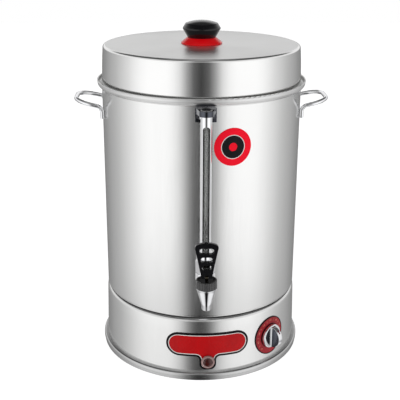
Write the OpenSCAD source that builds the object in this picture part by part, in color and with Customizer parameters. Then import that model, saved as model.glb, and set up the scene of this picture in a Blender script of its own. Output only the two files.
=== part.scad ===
// Hot water urn: a steel tank on a heated base, with a lift-off lid, a water gauge, a sprung lever tap
// and a thermostat. The origin is the centre of the foot ring's underside, and the tap faces -Y.

/* [Tank] */
// Radius of the tank outside
tank_r = 150; // [135:1:170]
// Height of the seam between base and tank above the table
seam_z = 99; // [94:1:120]
// Height of the collar's rim above the seam
tank_h = 330; // [300:1:420]
// Thickness of the tank's sheet
tank_t = 0.8; // [0.6:0.1:1.2]
// Bend radius of the tank's bottom edge
tank_edge_r = 5; // [3:0.5:7]
// Width of the lip that joins the tank to the base
lip_w = 8; // [7:0.5:12]
// How far the collar stands out from the tank
collar_out = 6.6; // [5:0.1:7.6]
// Height of the collar's upright band
collar_h = 4; // [3:0.5:8]
// Bend radius where the wall turns out to the collar
flare_in_r = 2.5; // [2:0.1:3.5]
// Bend radius where the collar turns upright
flare_out_r = 5.5; // [5:0.1:7]
// Radius of the bead rolled on the rim
rim_bead_r = 1.1; // [0.8:0.1:1.5]
// Height of the tank floor above the seam
floor_rise = 6.2; // [5.5:0.1:10]
// Thickness of the tank floor
floor_t = 1.2; // [0.8:0.1:2]
// Height of the floor's turned-up edge
floor_edge_h = 10; // [7:0.5:16]
// Bend radius of the floor's edge
floor_bend_r = 4; // [3:0.5:6]

/* [Lid] */
// Height of the lid above its shoulder
lid_h = 62; // [50:1:80]
// Thickness of the lid's sheet
lid_t = 0.8; // [0.6:0.1:1]
// How far the lid's side lies inside the line of the tank
lid_inset = 0.5; // [0.3:0.1:0.8]
// How far the lid's side draws in towards the top
lid_taper = 2.1; // [1:0.1:4]
// Radius of the lid's top edge
lid_edge_r = 4; // [2:0.5:10]
// Radius of the lid's shoulder, which rests on the flare
lid_corner_r = 1.5; // [1.1:0.1:1.6]
// Depth of the ring that locates the lid in the tank
lid_plug_h = 7; // [5:0.5:8]
// Play between that ring and the tank
lid_play = 1.6; // [1.4:0.1:2]

/* [Lid knob] */
// Largest radius of the knob
knob_r = 28.7; // [24:0.1:34]
// Radius of the knob's waist
knob_waist_r = 21.1; // [18:0.1:22.5]
// Height of the knob above the lid, with its collar
knob_h = 34; // [32:0.5:40]
// Height of the knob's widest edge
knob_rim_h = 22.4; // [20:0.1:24]
// Radius of that edge's rounding
knob_edge_r = 2.4; // [1:0.1:3]
// Radius of the knob's domed top
knob_top_r = 23.9; // [21:0.1:25]
// Height at which the dome starts
knob_top_h = 29.7; // [28:0.1:30.5]
// Radius of the rounding round the dome
knob_top_edge_r = 1.4; // [0.6:0.1:2]
// Radius of the red collar's foot
knob_collar_r = 30.8; // [28:0.1:38]
// Height of the red collar
knob_collar_h = 9.2; // [7:0.1:12]
// Thickness of the red collar's rim
knob_collar_rim = 1.6; // [1:0.1:3]
// Radius of the knob's screw
knob_screw_r = 3; // [2:0.1:4]
// Radius of the washer under the lid
knob_washer_r = 12; // [9:0.5:18]

/* [Handles] */
// Radius of the handle rod
rod_r = 3; // [2.5:0.1:4]
// Distance between the two legs of a handle
handle_w = 90; // [70:1:120]
// How far a handle's grip stands off the tank
handle_out = 40; // [32:1:60]
// Depth of the handle's root below the rim
handle_drop = 37.5; // [34:0.5:60]
// How far the grip lies above the handle's root
handle_rise = 7; // [0:0.5:14]
// Length of the upright tail welded to the tank
tail_l = 17; // [14:1:30]
// Bend radius at the tail
tail_bend_r = 8; // [6:0.5:12]
// Bend radius at the corners of the grip
grip_bend_r = 15; // [10:0.5:20]

/* [Base] */
// How far the skirt stands out from the tank
skirt_out = 1; // [0:0.1:3]
// How far the skirt widens towards the foot
skirt_flare = 2.2; // [0:0.1:5]
// Thickness of the skirt's sheet
skirt_t = 0.8; // [0.6:0.1:1.2]
// Radius of the skirt's shoulder
shoulder_r = 7; // [5:0.5:9]
// How far the foot ring stands out from the skirt
foot_out = 6; // [4:0.1:10]
// Height of the foot ring
foot_h = 11.5; // [10:0.5:14]
// Thickness of the foot ring's sheet
foot_t = 1.2; // [0.8:0.1:1.6]
// Height of the foot ring's lower band
foot_band_h = 4.6; // [3:0.1:6]
// How far that band is set back
foot_band_in = 0.9; // [0.5:0.1:1.4]
// Width of the foot ring's flat underside
foot_sole_w = 11; // [9:0.5:18]
// Radius of the foot ring's top edge
foot_edge_r = 3; // [1.5:0.1:4]
// Thickness of the bottom cover
cover_t = 1; // [0.8:0.1:1.5]
// Height of the bottom cover above the table
cover_z = 4; // [3:0.1:5]
// Thickness of the tabs that hold the cover
tab_t = 1.2; // [1:0.1:2]
// Width of a tab, as an angle
tab_angle = 8; // [6:1:12]
// Radius of the cover's screws
cover_screw_r = 2; // [1.5:0.1:2.5]
// Number of cooling slots in each ring of the cover
vent_count = 10; // [6:1:14]
// Width of a cooling slot
vent_w = 5; // [3:0.5:8]
// Radius of the bolts between tank and base
seam_bolt_r = 2; // [1.5:0.1:2.5]

/* [Gauge] */
// Distance from the tank wall to the middle of the gauge
gauge_off = 16; // [15:0.5:22]
// Radius of the guard tube
guard_r = 7.8; // [7.4:0.1:8.6]
// Thickness of the guard tube
guard_t = 1; // [0.8:0.1:1.2]
// Width of the guard tube's window
window_w = 9.9; // [7:0.1:11]
// Distance from the top of the gauge to the window
window_drop = 21; // [16:0.5:40]
// Radius of the gauge glass
glass_r = 5.2; // [4.5:0.1:5.6]
// Thickness of the gauge glass
glass_t = 1.2; // [0.8:0.1:1.8]
// Width of the bracket at the wall
bracket_w = 29.4; // [26:0.1:36]
// Height of the bracket's wall plate
bracket_h = 19.5; // [18:0.5:28]
// Thickness of the wall plate
bracket_t = 2.2; // [1.5:0.1:3]
// Radius of the bracket's head
head_r = 10.2; // [9.8:0.1:12]
// Height of the bracket's head
head_h = 7.5; // [6:0.1:10]
// Depth of the guard tube in the head
guard_in = 3; // [2:0.1:4]
// Radius of the cap on the head
cap_r = 8; // [6:0.1:9]
// Height of the cap
cap_h = 1.6; // [1:0.1:3]
// Radius of the two bracket bolts
bracket_bolt_r = 2; // [1.5:0.1:2.5]

/* [Tap body] */
// Height of the tap's shank above the seam
tap_rise = 61; // [56:1:80]
// Distance from the tank wall to the middle of the spout
tap_out = 54; // [50:0.5:64]
// Radius of the shank
shank_r = 9; // [8.4:0.1:9.6]
// Radius of the waterway through the shank
shank_bore_r = 5; // [4:0.1:5.6]
// Length of the shank inside the tank
shank_in = 14; // [12:0.5:22]
// Radius of the flange against the wall
flange_r = 13; // [12:0.1:16]
// Thickness of the flange
flange_t = 3.5; // [2.5:0.1:5]
// Thickness of the gaskets on the wall
gasket_t = 2.6; // [2.4:0.1:3.5]
// Radius of the cup that holds the gauge
cup_r = 14; // [13.2:0.1:14.8]
// Height of the cup's top above the shank's middle
cup_h = 21.5; // [20:0.5:26]
// Height of the cup's threaded neck
neck_h = 8.5; // [7:0.1:11]
// Height of the gland nut on the cup
gland_h = 19.5; // [17:0.5:26]
// Radius of the spout's tip
tip_r = 6.7; // [6.2:0.1:7.5]
// Height of the spout's straight tip
tip_h = 7; // [4:0.5:10]
// Drop from the shank's middle to the tip of the spout
spout_drop = 18.5; // [17:0.5:28]
// Largest radius of the spout's cone
cone_r = 13.9; // [13.4:0.1:14.6]
// Height of the cone's top above the shank's middle
cone_top = 14.5; // [13:0.5:18]
// Radius of the outlet
outlet_r = 4.6; // [4:0.1:4.8]
// Radius of the valve chamber
chamber_r = 8; // [7:0.1:8.2]
// Depth of the valve seat below the shank's middle
seat_drop = 3; // [2.5:0.1:3.2]
// Corner radius of the nut inside the tank
backnut_r = 15.5; // [14.5:0.1:18]
// Thickness of that nut
backnut_t = 6; // [5:0.1:9]

/* [Tap valve] */
// Outer radius of the bonnet ring
bonnet_r = 14.7; // [14.4:0.1:15.5]
// Height of the bonnet ring
bonnet_h = 12.3; // [11.5:0.1:15]
// Depth of the recess in the bonnet's top
recess_h = 4; // [3:0.1:5]
// Wall of the bonnet round that recess
bonnet_wall = 1.7; // [1.4:0.1:1.8]
// Thickness of the bonnet's deck
deck_t = 2.4; // [2:0.1:3]
// Number of ribs round the bonnet
rib_count = 32; // [24:1:40]
// Radius of the groove between two ribs
rib_groove_r = 0.6; // [0.4:0.05:0.7]
// Radius of the valve stem
stem_r = 2; // [1.6:0.1:2.3]
// Radius of the stem's flange
stem_flange_r = 5; // [4.6:0.1:6]
// Radius of the stem's eye
eye_r = 3.2; // [2.8:0.1:3.5]
// Thickness of the stem's eye
eye_t = 4.4; // [4:0.1:5]
// Radius of the lever's pin
pin_r = 1.5; // [1.2:0.1:1.7]
// Height of the lever's pin above the deck
pin_rise = 6.5; // [6:0.1:7]
// Radius of the valve seal
seal_r = 6.6; // [6:0.1:6.8]
// Height of the valve seal
seal_h = 6; // [5:0.1:7]
// Wire radius of the valve spring
wire_r = 0.5; // [0.4:0.05:0.6]
// Mean radius of the valve spring
coil_r = 3.9; // [3.4:0.1:4.2]
// Number of turns of the valve spring
coil_turns = 5; // [4:1:7]

/* [Tap lever] */
// Width of the lever at its foot
lever_foot_w = 16.4; // [15:0.1:17]
// Width of the lever at its head
lever_head_w = 32.4; // [26:0.1:38]
// Height of the lever above its pin
lever_h = 52; // [46:0.5:62]
// Height above the pin at which the lever starts to widen
lever_neck_h = 5; // [4:0.5:8]
// Corner radius of the lever's head
lever_corner_r = 5; // [3:0.1:6]
// Radius of the lever's crowned top
lever_crown_r = 34; // [28:1:60]
// Thickness of the lever at its foot
lever_foot_t = 7.4; // [7:0.1:8]
// Thickness of the lever at its tip
lever_tip_t = 4.6; // [3.5:0.1:6]
// How far the lever bows back half way up
lever_bow = 2.4; // [0:0.1:4]
// Heights of the slots above the pin
slot_z = [39.4, 26.5, 15.2];
// Widths of the slots
slot_w = [20.6, 16.2, 13.2];
// Heights of the slots themselves
slot_h = [8.2, 7.4, 6];
// Angle that opens the tap
lever_angle = 40; // [30:1:45]
// Lift of the valve at that angle
valve_lift = 2.8; // [2:0.1:3.2]

/* [Thermostat] */
// Angle from the tap round to the thermostat
thermo_turn = 42.4; // [38:0.1:60]
// Height of the thermostat's middle
thermo_z = 50; // [46:0.5:56]
// Radius of the dial
dial_r = 30.5; // [28:0.1:32]
// Thickness of the dial and of the nameplate
dial_t = 0.8; // [0.5:0.1:1.2]
// Radius of the knob's skirt
turn_knob_r = 19.6; // [17:0.1:23]
// Height of the knob's skirt
turn_skirt_h = 6; // [5:0.1:8]
// Height of the whole knob
turn_knob_h = 23; // [18:0.5:28]
// Radius of the knob's crown
turn_crown_r = 16.4; // [14:0.1:17]
// Width of the grip bar at its waist
grip_w = 8.5; // [7:0.1:11]
// Radius of the scoops beside the grip bar
scoop_r = 21; // [18:0.5:26]
// Radius of the thermostat's shaft
shaft_r = 3; // [2.5:0.1:3.5]
// Width of the thermostat's body
thermo_w = 36; // [30:1:42]
// Depth of the thermostat's body
thermo_d = 27; // [22:1:32]
// Distance between the thermostat's screws
thermo_screw_gap = 28; // [26:1:30]
// Radius of the sensor bulb
bulb_r = 2.2; // [1.8:0.1:2.4]
// Length of the sensor bulb
bulb_l = 74; // [60:1:90]
// Radius of the bulb's capillary tube
capillary_r = 0.9; // [0.7:0.1:1.1]

/* [Nameplate and lamp] */
// Angle from the tap round to the nameplate and lamp
plate_turn = 2; // [-10:0.5:12]
// Height of the nameplate's middle
plate_z = 56.2; // [52:0.5:60]
// Width of the nameplate
plate_w = 123.4; // [100:1:130]
// Height of the nameplate's band
plate_h = 37.4; // [30:0.5:40]
// Width of the tab round the lamp
plate_tab_w = 25; // [23:0.5:30]
// Drop from the nameplate's middle to the tab's end
plate_tab_drop = 40.4; // [39:0.1:41]
// Radius of the fillets beside the tab
plate_fillet_r = 6; // [3:0.5:9]
// Radius of the tab's corners
plate_tab_r = 9; // [5:0.5:11]
// Height of the lamp's middle
lamp_z = 28.7; // [28:0.1:30]
// Radius of the lamp's bezel
bezel_r = 10.2; // [9.5:0.1:11]
// Radius of the lamp's lens
lens_r = 6.9; // [6:0.1:7.5]
// Height of the lamp's bezel
bezel_h = 3; // [2:0.1:4]
// Radius of the lamp's body
lamp_body_r = 6.2; // [5.5:0.1:6.4]
// Length of the lamp's body
lamp_body_l = 26; // [20:1:34]
// Radius of the round label on the tank
label_r = 27; // [20:0.5:34]
// Thickness of the round label
label_t = 0.3; // [0.2:0.05:0.5]
// Angle from the tap round to the label
label_turn = 14.7; // [14.5:0.1:40]
// Depth of the label's middle below the rim
label_drop = 69.4; // [55:0.5:120]

/* [Heater] */
// Radius of the heating ring
ring_r = 95; // [70:1:105]
// Radius of the heater's tube
heater_r = 4; // [3:0.1:5]
// Height of the heating ring above the tank floor
ring_rise = 16; // [14:0.5:30]
// Half the angle left open between the ring's ends
ring_gap = 15; // [13:0.5:20]
// Bend radius of the heater's legs
leg_bend_r = 12; // [9:0.5:14]
// Length of a leg below the floor
leg_below = 17; // [15:0.5:22]
// Corner radius of the heater's nuts
heater_nut_r = 9; // [8:0.1:11]
// Height of the heater's nuts
heater_nut_h = 6; // [4:0.1:8]
// Radius of the heater's collars
heater_collar_r = 8; // [7:0.1:10]
// Thickness of the heater's gaskets
heater_gasket_t = 1.2; // [0.8:0.1:2]

/* [Back of the base] */
// Height of the cord gland's middle
gland_z = 38; // [30:1:55]
// Corner radius of the cord gland
gland_r = 11.5; // [10:0.1:14]
// Length of the cord gland outside the skirt
gland_out = 17; // [14:0.5:24]
// Radius of the hole for a cord
cord_hole_r = 4.4; // [3.5:0.1:5]
// Length of the terminal block
terminal_l = 42; // [30:1:50]
// Radius of the safety cut-out
cutout_r = 9.5; // [8:0.1:12]
// Height of the safety cut-out
cutout_h = 11; // [8:0.5:14]

/* [Hidden] */
$fn = 96;

// Clearances: between bodies at rest, between curved faces of one body, and of a shaft in its hole
rest_gap = 0.3;
seat_gap = 0.1;
fit_gap = 0.05;
// How far a cut runs past the face it opens
past = 1;
// Shortest step kept in an outline
shortest = 0.001;
// A bend is this much fuller than its rod, and the rod runs this far into it, so that they join cleanly
bend_swell = 0.03;
bend_lap = 0.4;

rim_z = seam_z + tank_h;
collar_r = tank_r + collar_out;
flare_angle = acos(1 - collar_out / (flare_in_r + flare_out_r));
flare_top_z = rim_z - collar_h;
flare_z = flare_top_z - (flare_in_r + flare_out_r) * sin(flare_angle);
inside_r = tank_r - tank_t;
lip_r = tank_r - tank_edge_r - lip_w;
floor_z = seam_z + floor_rise;
floor_top = floor_z + floor_t;

lid_r = tank_r - lid_inset;
plug_r = inside_r - lid_play;
lid_run = tank_r + flare_in_r - lid_r + lid_corner_r;
lid_reach = flare_in_r + tank_t + lid_corner_r + rest_gap;
shoulder_z = flare_z - lid_corner_r + sqrt(pow(lid_reach, 2) - pow(lid_run, 2));
lid_top = shoulder_z + lid_h;
knob_hole_r = knob_screw_r + fit_gap;
knob_thread_h = 12;
knob_crown_r = (pow(knob_top_r, 2) + pow(knob_h - knob_top_h, 2)) / (knob_h - knob_top_h) / 2;

skirt_top_r = tank_r + skirt_out;
skirt_foot_r = skirt_top_r + skirt_flare;
skirt_top_z = seam_z - shoulder_r;
foot_r = skirt_foot_r + foot_out;
sole_r = foot_r - foot_band_in - foot_sole_w;
cover_r = sole_r - seat_gap;
tab_in_r = cover_r - 14;
cover_screw_at = cover_r - 8;
seam_bolt_at = lip_r + lip_w / 2;

gauge_y = -(tank_r + gauge_off);
bracket_top = flare_z - 1.5;
head_z = bracket_top - head_h;
guard_top = head_z + guard_in;
glass_top = guard_top + 2.4;
bracket_bolt_z = bracket_top - bracket_h + 6;
bracket_bolt_x = bracket_w / 2 - 6.5;

tap_z = seam_z + tap_rise;
tap_y = -(tank_r + tap_out);
flange_y = -(tank_r + gasket_t);
cup_top = tap_z + cup_h;
neck_top = cup_top + neck_h;
neck_r = 10.5;
seal_pocket_r = 9;
seal_pocket_h = 6;
gland_top = cup_top + rest_gap + gland_h;
guard_bottom = neck_top + seat_gap;
tip_z = tap_z - spout_drop;
cone_z = tap_z + cone_top;
seat_z = tap_z - seat_drop;
bonnet_z = cone_z + rest_gap;
bonnet_top = bonnet_z + bonnet_h;
deck_z = bonnet_top - recess_h;
deck_under = deck_z - deck_t;
bonnet_thread_r = 11.8;
pin_z = deck_z + pin_rise;
seal_z = seat_z + rest_gap;
seal_top = seal_z + seal_h;
spring_z = seal_top + 1.6;

// Flat backs on the flared skirt stand clear of it at their lowest point
turn_r = skirt_r(thermo_z - turn_knob_r) + dial_t + 2 * seat_gap;
lamp_face = skirt_r(lamp_z - bezel_r) + dial_t + 2 * seat_gap;

// Points along an arc about (x, y) from angle a to angle b
function arc(x, y, r, a, b, n = 8) =
    [for (i = [0:n]) [x + r * cos(a + (b - a) * i / n), y + r * sin(a + (b - a) * i / n)]];
function unit(v) = v / norm(v);
// Points along a rounding of radius r at b, between the lines to a and c
function corner(a, b, c, r, n = 5) = let (u = unit(a - b), v = unit(c - b), half = acos(u * v) / 2,
    m = b + unit(u + v) * r / sin(half), s = b + u * r / tan(half) - m, e = b + v * r / tan(half) - m,
    start = atan2(s.y, s.x), turn = (atan2(e.y, e.x) - start + 540) % 360 - 180)
    [for (i = [0:n]) m + r * [cos(start + turn * i / n), sin(start + turn * i / n)]];
function left(v) = [-v.y, v.x];
// Unit directions of the path before and after point i
function before(path, i) = i > 0 ? unit(path[i] - path[i - 1]) : unit(path[1] - path[0]);
function after(path, i) = i < len(path) - 1 ? unit(path[i + 1] - path[i]) : before(path, i);
// The path moved to its left by t, with mitred corners
function beside(path, t) = [for (i = [0:len(path) - 1]) let (a = before(path, i), b = after(path, i))
    path[i] + t * left(unit(a + b)) / sqrt((1 + a * b) / 2)];
function reversed(list) = [for (i = [len(list) - 1:-1:0]) list[i]];
// Outer radius of the skirt at height z
function skirt_r(z) = skirt_foot_r - skirt_flare * z / skirt_top_z;

// The path without points that repeat the one before, as where two arcs meet
function clean(path) =
    [for (i = [0:len(path) - 1]) if (i == 0 || norm(path[i] - path[max(i - 1, 0)]) > shortest) path[i]];

// Section of a bent sheet whose outer face is the path and whose thickness lies to its left
module sheet(path, t) polygon(concat(clean(path), reversed(beside(clean(path), t))));

module turned(points) rotate_extrude() polygon(points);

// Children drawn along local +Z, placed to point outwards at an angle round the urn and a height
module facing(turn, z) rotate([0, 0, turn]) translate([0, 0, z]) rotate([90, 0, 0]) children();

// Children drawn along local +Z, placed to run from one point towards another
module towards(from, to) {
    d = to - from;
    translate(from) rotate([0, acos(d.z / norm(d)), atan2(d.y, d.x)]) children();
}

// Quarter or part turn of rod from direction u to direction v round a corner
module elbow(corner, u, v, bend, turn, r) {
    n = unit(v - u * (u * v));
    c = corner - u * bend * tan(turn / 2) + n * bend;
    w = cross(-n, u);
    multmatrix([[-n.x, u.x, w.x, c.x], [-n.y, u.y, w.y, c.y], [-n.z, u.z, w.z, c.z], [0, 0, 0, 1]])
        rotate_extrude(angle = turn) translate([bend, 0]) circle(r);
}

// Round rod through the points p, with a bend at each inner point
module bent_rod(p, bends, r) {
    last = len(p) - 1;
    u = [for (i = [1:last]) unit(p[i] - p[i - 1])];
    turns = [0, for (i = [1:last - 1]) acos(u[i - 1] * u[i]), 0];
    cuts = [0, for (i = [1:last - 1]) bends[i - 1] * tan(turns[i] / 2) - bend_lap, 0];
    for (i = [1:last]) {
        a = p[i - 1] + u[i - 1] * cuts[i - 1];
        b = p[i] - u[i - 1] * cuts[i];
        if (norm(b - a) > 3 * bend_lap) towards(a, b) cylinder(r = r, h = norm(b - a));
    }
    for (i = [1:last - 1]) elbow(p[i], u[i - 1], u[i], bends[i - 1], turns[i], r + bend_swell);
}

// Hexagon nut with rounded corners and a hole
module hex_nut(r, h, hole) difference() {
    intersection() {
        cylinder(r = r, h = h, $fn = 6);
        turned([[0, 0], [r - 0.8, 0], [r, 0.8], [r, h - 0.8], [r - 0.8, h], [0, h]]);
    }
    translate([0, 0, -past]) cylinder(r = hole, h = h + 2 * past);
}

module rounded_bar(w, h) {
    square([w - h, h], center = true);
    for (side = [-1, 1]) translate([side * (w - h) / 2, 0]) circle(h / 2);
}

// The part of a thin layer on the skirt that lies inside the children
module on_skirt(t) intersection() {
    turned([for (p = [[0, foot_h], [t, foot_h], [t, skirt_top_z], [0, skirt_top_z]])
        [skirt_r(p.y) + seat_gap + p.x, p.y]]);
    children();
}

module skirt_hole(turn, z, r) facing(turn, z) translate([0, 0, tank_r / 2]) cylinder(r = r, h = tank_r);

// Foot ring: a rolled channel that the skirt stands in
module foot_ring() color("silver") rotate_extrude() sheet(concat(
    [[sole_r, 0], [foot_r - foot_band_in, 0], [foot_r - foot_band_in, foot_band_h],
        [foot_r, foot_band_h + foot_band_in]],
    arc(foot_r - foot_edge_r, foot_h - foot_edge_r, foot_edge_r, 0, 90),
    [[skirt_r(foot_h) + seat_gap, foot_h]]), foot_t);

// Base skirt: a flared sheet with a shoulder and a lip that the tank stands on
module base_skirt() color("silver") difference() {
    rotate_extrude() sheet(concat([[skirt_r(foot_t), foot_t + seat_gap]],
        arc(skirt_top_r - shoulder_r, skirt_top_z, shoulder_r, 0, 90), [[lip_r, seam_z]]), skirt_t);
    at_seam_bolts() cylinder(r = seam_bolt_r + fit_gap, h = 4 * past, center = true);
    skirt_hole(thermo_turn, thermo_z, shaft_r + 2);
    for (side = [-1, 1]) facing(thermo_turn, thermo_z) translate([side * thermo_screw_gap / 2, 0, tank_r / 2])
        cylinder(r = cover_screw_r + fit_gap, h = tank_r);
    skirt_hole(plate_turn, lamp_z, lamp_body_r + fit_gap);
    skirt_hole(180, gland_z, gland_r - 3 + fit_gap);
}

module at_cover_screws() for (i = [0:3]) rotate([0, 0, 45 + 90 * i]) translate([cover_screw_at, 0, 0]) children();
module at_seam_bolts() for (i = [0:3]) rotate([0, 0, 45 + 90 * i]) translate([seam_bolt_at, 0, seam_z]) children();

// Bottom cover: a disc with two rings of cooling slots
module bottom_cover() color("gray") difference() {
    translate([0, 0, cover_z]) cylinder(r = cover_r, h = cover_t);
    at_cover_screws() translate([0, 0, cover_z - past]) cylinder(r = cover_screw_r + fit_gap, h = cover_t + 2 * past);
    for (ring = [0.42, 0.64], i = [0:vent_count - 1]) rotate([0, 0, 360 / vent_count * i])
        translate([0, 0, cover_z - past]) rotate_extrude(angle = 220 / vent_count)
            translate([cover_r * ring, 0]) square([vent_w, cover_t + 2 * past]);
}

// Tabs: four angles inside the skirt, which take the cover's screws
module cover_tabs() color("silver") difference() {
    for (i = [0:3]) rotate([0, 0, 45 + 90 * i - tab_angle / 2]) rotate_extrude(angle = tab_angle)
        sheet([[tab_in_r, cover_z + cover_t], [skirt_r(cover_z) - skirt_t - seat_gap, cover_z + cover_t],
            [skirt_r(cover_z + 14) - skirt_t - seat_gap, cover_z + 14]], tab_t);
    at_cover_screws() cylinder(r = cover_screw_r + fit_gap, h = cover_z + 10);
}

module cover_screws() color("silver") at_cover_screws() {
    translate([0, 0, cover_z - 1.5]) cylinder(r = 2 * cover_screw_r, h = 1.5);
    translate([0, 0, cover_z]) cylinder(r = cover_screw_r, h = cover_t + tab_t + 4);
}

// Seam bolts: join the tank's lip to the skirt's lip
module seam_bolts() color("silver") at_seam_bolts() {
    translate([0, 0, tank_t]) cylinder(r = 1.7 * seam_bolt_r, h = 2.4);
    translate([0, 0, -8]) cylinder(r = seam_bolt_r, h = 8 + tank_t);
}

module seam_nuts() color("silver") at_seam_bolts() translate([0, 0, -skirt_t - 3.2])
    hex_nut(2 * seam_bolt_r, 3.2, seam_bolt_r + fit_gap);

// Tank wall: a straight shell with a turned-in lip below and a flared, beaded collar above
module tank_wall() color("silver") difference() {
    rotate_extrude() {
        sheet(concat([[lip_r, seam_z]], arc(tank_r - tank_edge_r, seam_z + tank_edge_r, tank_edge_r, -90, 0),
            arc(tank_r + flare_in_r, flare_z, flare_in_r, 180, 180 - flare_angle),
            arc(collar_r - flare_out_r, flare_top_z, flare_out_r, -flare_angle, 0),
            [[collar_r, rim_z - rim_bead_r]]), tank_t);
        translate([collar_r - tank_t / 2, rim_z - rim_bead_r]) circle(rim_bead_r);
    }
    facing(0, tap_z) translate([0, 0, tank_r / 2]) cylinder(r = shank_r + seat_gap, h = tank_r);
    for (side = [-1, 1]) facing(0, bracket_bolt_z) translate([side * bracket_bolt_x, 0, tank_r / 2])
        cylinder(r = bracket_bolt_r + seat_gap, h = tank_r);
    at_seam_bolts() cylinder(r = seam_bolt_r + fit_gap, h = 4 * past, center = true);
}

// Tank floor: a dished disc welded inside the wall, with holes for the heater's legs
module tank_floor() color("silver") difference() {
    rotate_extrude() sheet(concat([[0, floor_z]],
        arc(inside_r - seat_gap - floor_bend_r, floor_z + floor_bend_r, floor_bend_r, -90, 0),
        [[inside_r - seat_gap, floor_z + floor_edge_h]]), floor_t);
    at_heater_legs() translate([0, 0, floor_z - past]) cylinder(r = heater_r + seat_gap, h = floor_t + 2 * past);
}

// Handle: a rod bent into a wide loop, with an upright tail welded to the tank at each end
module handle(side) {
    rod_y = handle_w / 2;
    root_r = tank_r + seat_gap + rod_r;
    root_x = sqrt(pow(root_r, 2) - pow(rod_y, 2));
    root_z = rim_z - handle_drop;
    grip_x = tank_r + handle_out;
    function loop(y) = [[side * root_x, y, root_z - tail_l], [side * root_x, y, root_z],
        [side * grip_x, y, root_z + handle_rise]];
    color("silver") bent_rod(concat(loop(-rod_y), reversed(loop(rod_y))),
        [tail_bend_r, grip_bend_r, grip_bend_r, tail_bend_r], rod_r);
}
module left_handle() handle(-1);
module right_handle() handle(1);

// Lid: a deep pressed cover whose shoulder rests on the flare and whose ring locates it in the tank
module lid_shell() color("silver") {
    side_z = shoulder_z + lid_corner_r;
    side_h = lid_top - lid_edge_r - side_z;
    steps = 6;
    side = [for (i = [1:steps]) [lid_r - lid_taper * pow(i / steps, 2), side_z + side_h * i / steps]];
    fillet = lid_r - lid_corner_r - plug_r;
    rotate_extrude() sheet(concat([[plug_r, shoulder_z - lid_plug_h]],
        arc(plug_r + fillet, shoulder_z - fillet, fillet, 180, 90, 4),
        arc(lid_r - lid_corner_r, side_z, lid_corner_r, -90, 0, 6), side,
        arc(lid_r - lid_taper - lid_edge_r, lid_top - lid_edge_r, lid_edge_r, 10, 90),
        [[knob_hole_r, lid_top]]), lid_t);
}

// Red collar under the knob
module knob_collar() color("crimson") translate([0, 0, lid_top]) turned([[knob_hole_r, 0],
    [knob_collar_r - 0.8, 0], [knob_collar_r, 0.8], [knob_collar_r, knob_collar_rim],
    [knob_waist_r + 0.9, knob_collar_h - 0.4], [knob_waist_r, knob_collar_h], [knob_hole_r, knob_collar_h]]);

// Knob: a cone that widens from the collar to its rim, a chamfer above it and a domed top
module lid_knob() color("black") {
    waist = [knob_waist_r, knob_collar_h];
    rim = [knob_r, knob_rim_h];
    top = [knob_top_r, knob_top_h];
    crown_tilt = asin(knob_top_r / knob_crown_r);
    dome = arc(0, knob_h - knob_crown_r, knob_crown_r, 90 - 0.85 * crown_tilt, 90, 5);
    translate([0, 0, lid_top]) turned(concat([[knob_hole_r, knob_collar_h], waist],
        corner(waist, rim, top, knob_edge_r), corner(rim, top, dome[0], knob_top_edge_r), dome,
        [[0, knob_collar_h + knob_thread_h], [knob_hole_r, knob_collar_h + knob_thread_h]]));
}

module knob_screw() color("silver") translate([0, 0, lid_top - lid_t]) {
    translate([0, 0, -1.5]) cylinder(r = knob_washer_r, h = 1.5);
    translate([0, 0, -5.5]) cylinder(r = 2 * knob_screw_r, h = 4, $fn = 6);
    cylinder(r = knob_screw_r, h = lid_t + knob_collar_h + knob_thread_h - 1);
}

// Gauge bracket: a saddle plate on the wall, and an arm that ends in the head over the glass
module gauge_bracket() color("silver") difference() {
    union() {
        intersection() {
            cylinder(r = tank_r + seat_gap + bracket_t, h = bracket_top);
            translate([-bracket_w / 2, -2 * tank_r, bracket_top - bracket_h])
                cube([bracket_w, 2 * tank_r, bracket_h]);
        }
        translate([0, 0, head_z]) linear_extrude(head_h) {
            polygon([[-bracket_w / 2, -tank_r + 2], [bracket_w / 2, -tank_r + 2], [head_r, gauge_y], [-head_r, gauge_y]]);
            translate([0, gauge_y]) circle(head_r);
        }
        for (side = [-1, 1]) translate([side * (head_r + 0.8) - 1.2, 0, 0]) rotate([90, 0, 90]) linear_extrude(2.4)
            polygon([[-tank_r + 2, bracket_top - bracket_h], [gauge_y + guard_r, head_z + past],
                [-tank_r + 2, head_z + past]]);
    }
    translate([0, 0, bracket_top - 2 * bracket_h]) cylinder(r = tank_r + seat_gap, h = 3 * bracket_h);
    translate([0, gauge_y, head_z - past]) cylinder(r = guard_r + fit_gap, h = guard_in + past);
    translate([0, gauge_y, head_z]) cylinder(r = guard_r - guard_t, h = glass_top + seat_gap - head_z);
    translate([0, gauge_y, head_z]) cylinder(r = glass_r, h = head_h + past);
    for (side = [-1, 1]) facing(0, bracket_bolt_z) translate([side * bracket_bolt_x, 0, tank_r - past])
        cylinder(r = bracket_bolt_r + fit_gap, h = 8);
}

// Cap: a slotted plug screwed into the head
module gauge_cap() color("silver") translate([0, gauge_y, 0]) difference() {
    union() {
        translate([0, 0, glass_top + 2 * seat_gap]) cylinder(r = glass_r - fit_gap, h = bracket_top - glass_top);
        translate([0, 0, bracket_top]) turned([[0, 0], [cap_r, 0], [cap_r, cap_h - 0.8], [cap_r - 0.8, cap_h], [0, cap_h]]);
    }
    translate([-cap_r, -0.8, bracket_top + cap_h / 2]) cube([2 * cap_r, 1.6, cap_h]);
}

module bracket_bolts() color("silver") for (side = [-1, 1]) facing(0, bracket_bolt_z)
    translate([side * bracket_bolt_x, 0, 0]) {
        translate([0, 0, inside_r - 3.8]) cylinder(r = 1.8 * bracket_bolt_r, h = 3);
        translate([0, 0, inside_r - 1]) cylinder(r = bracket_bolt_r, h = tank_t + bracket_t);
    }

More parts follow.
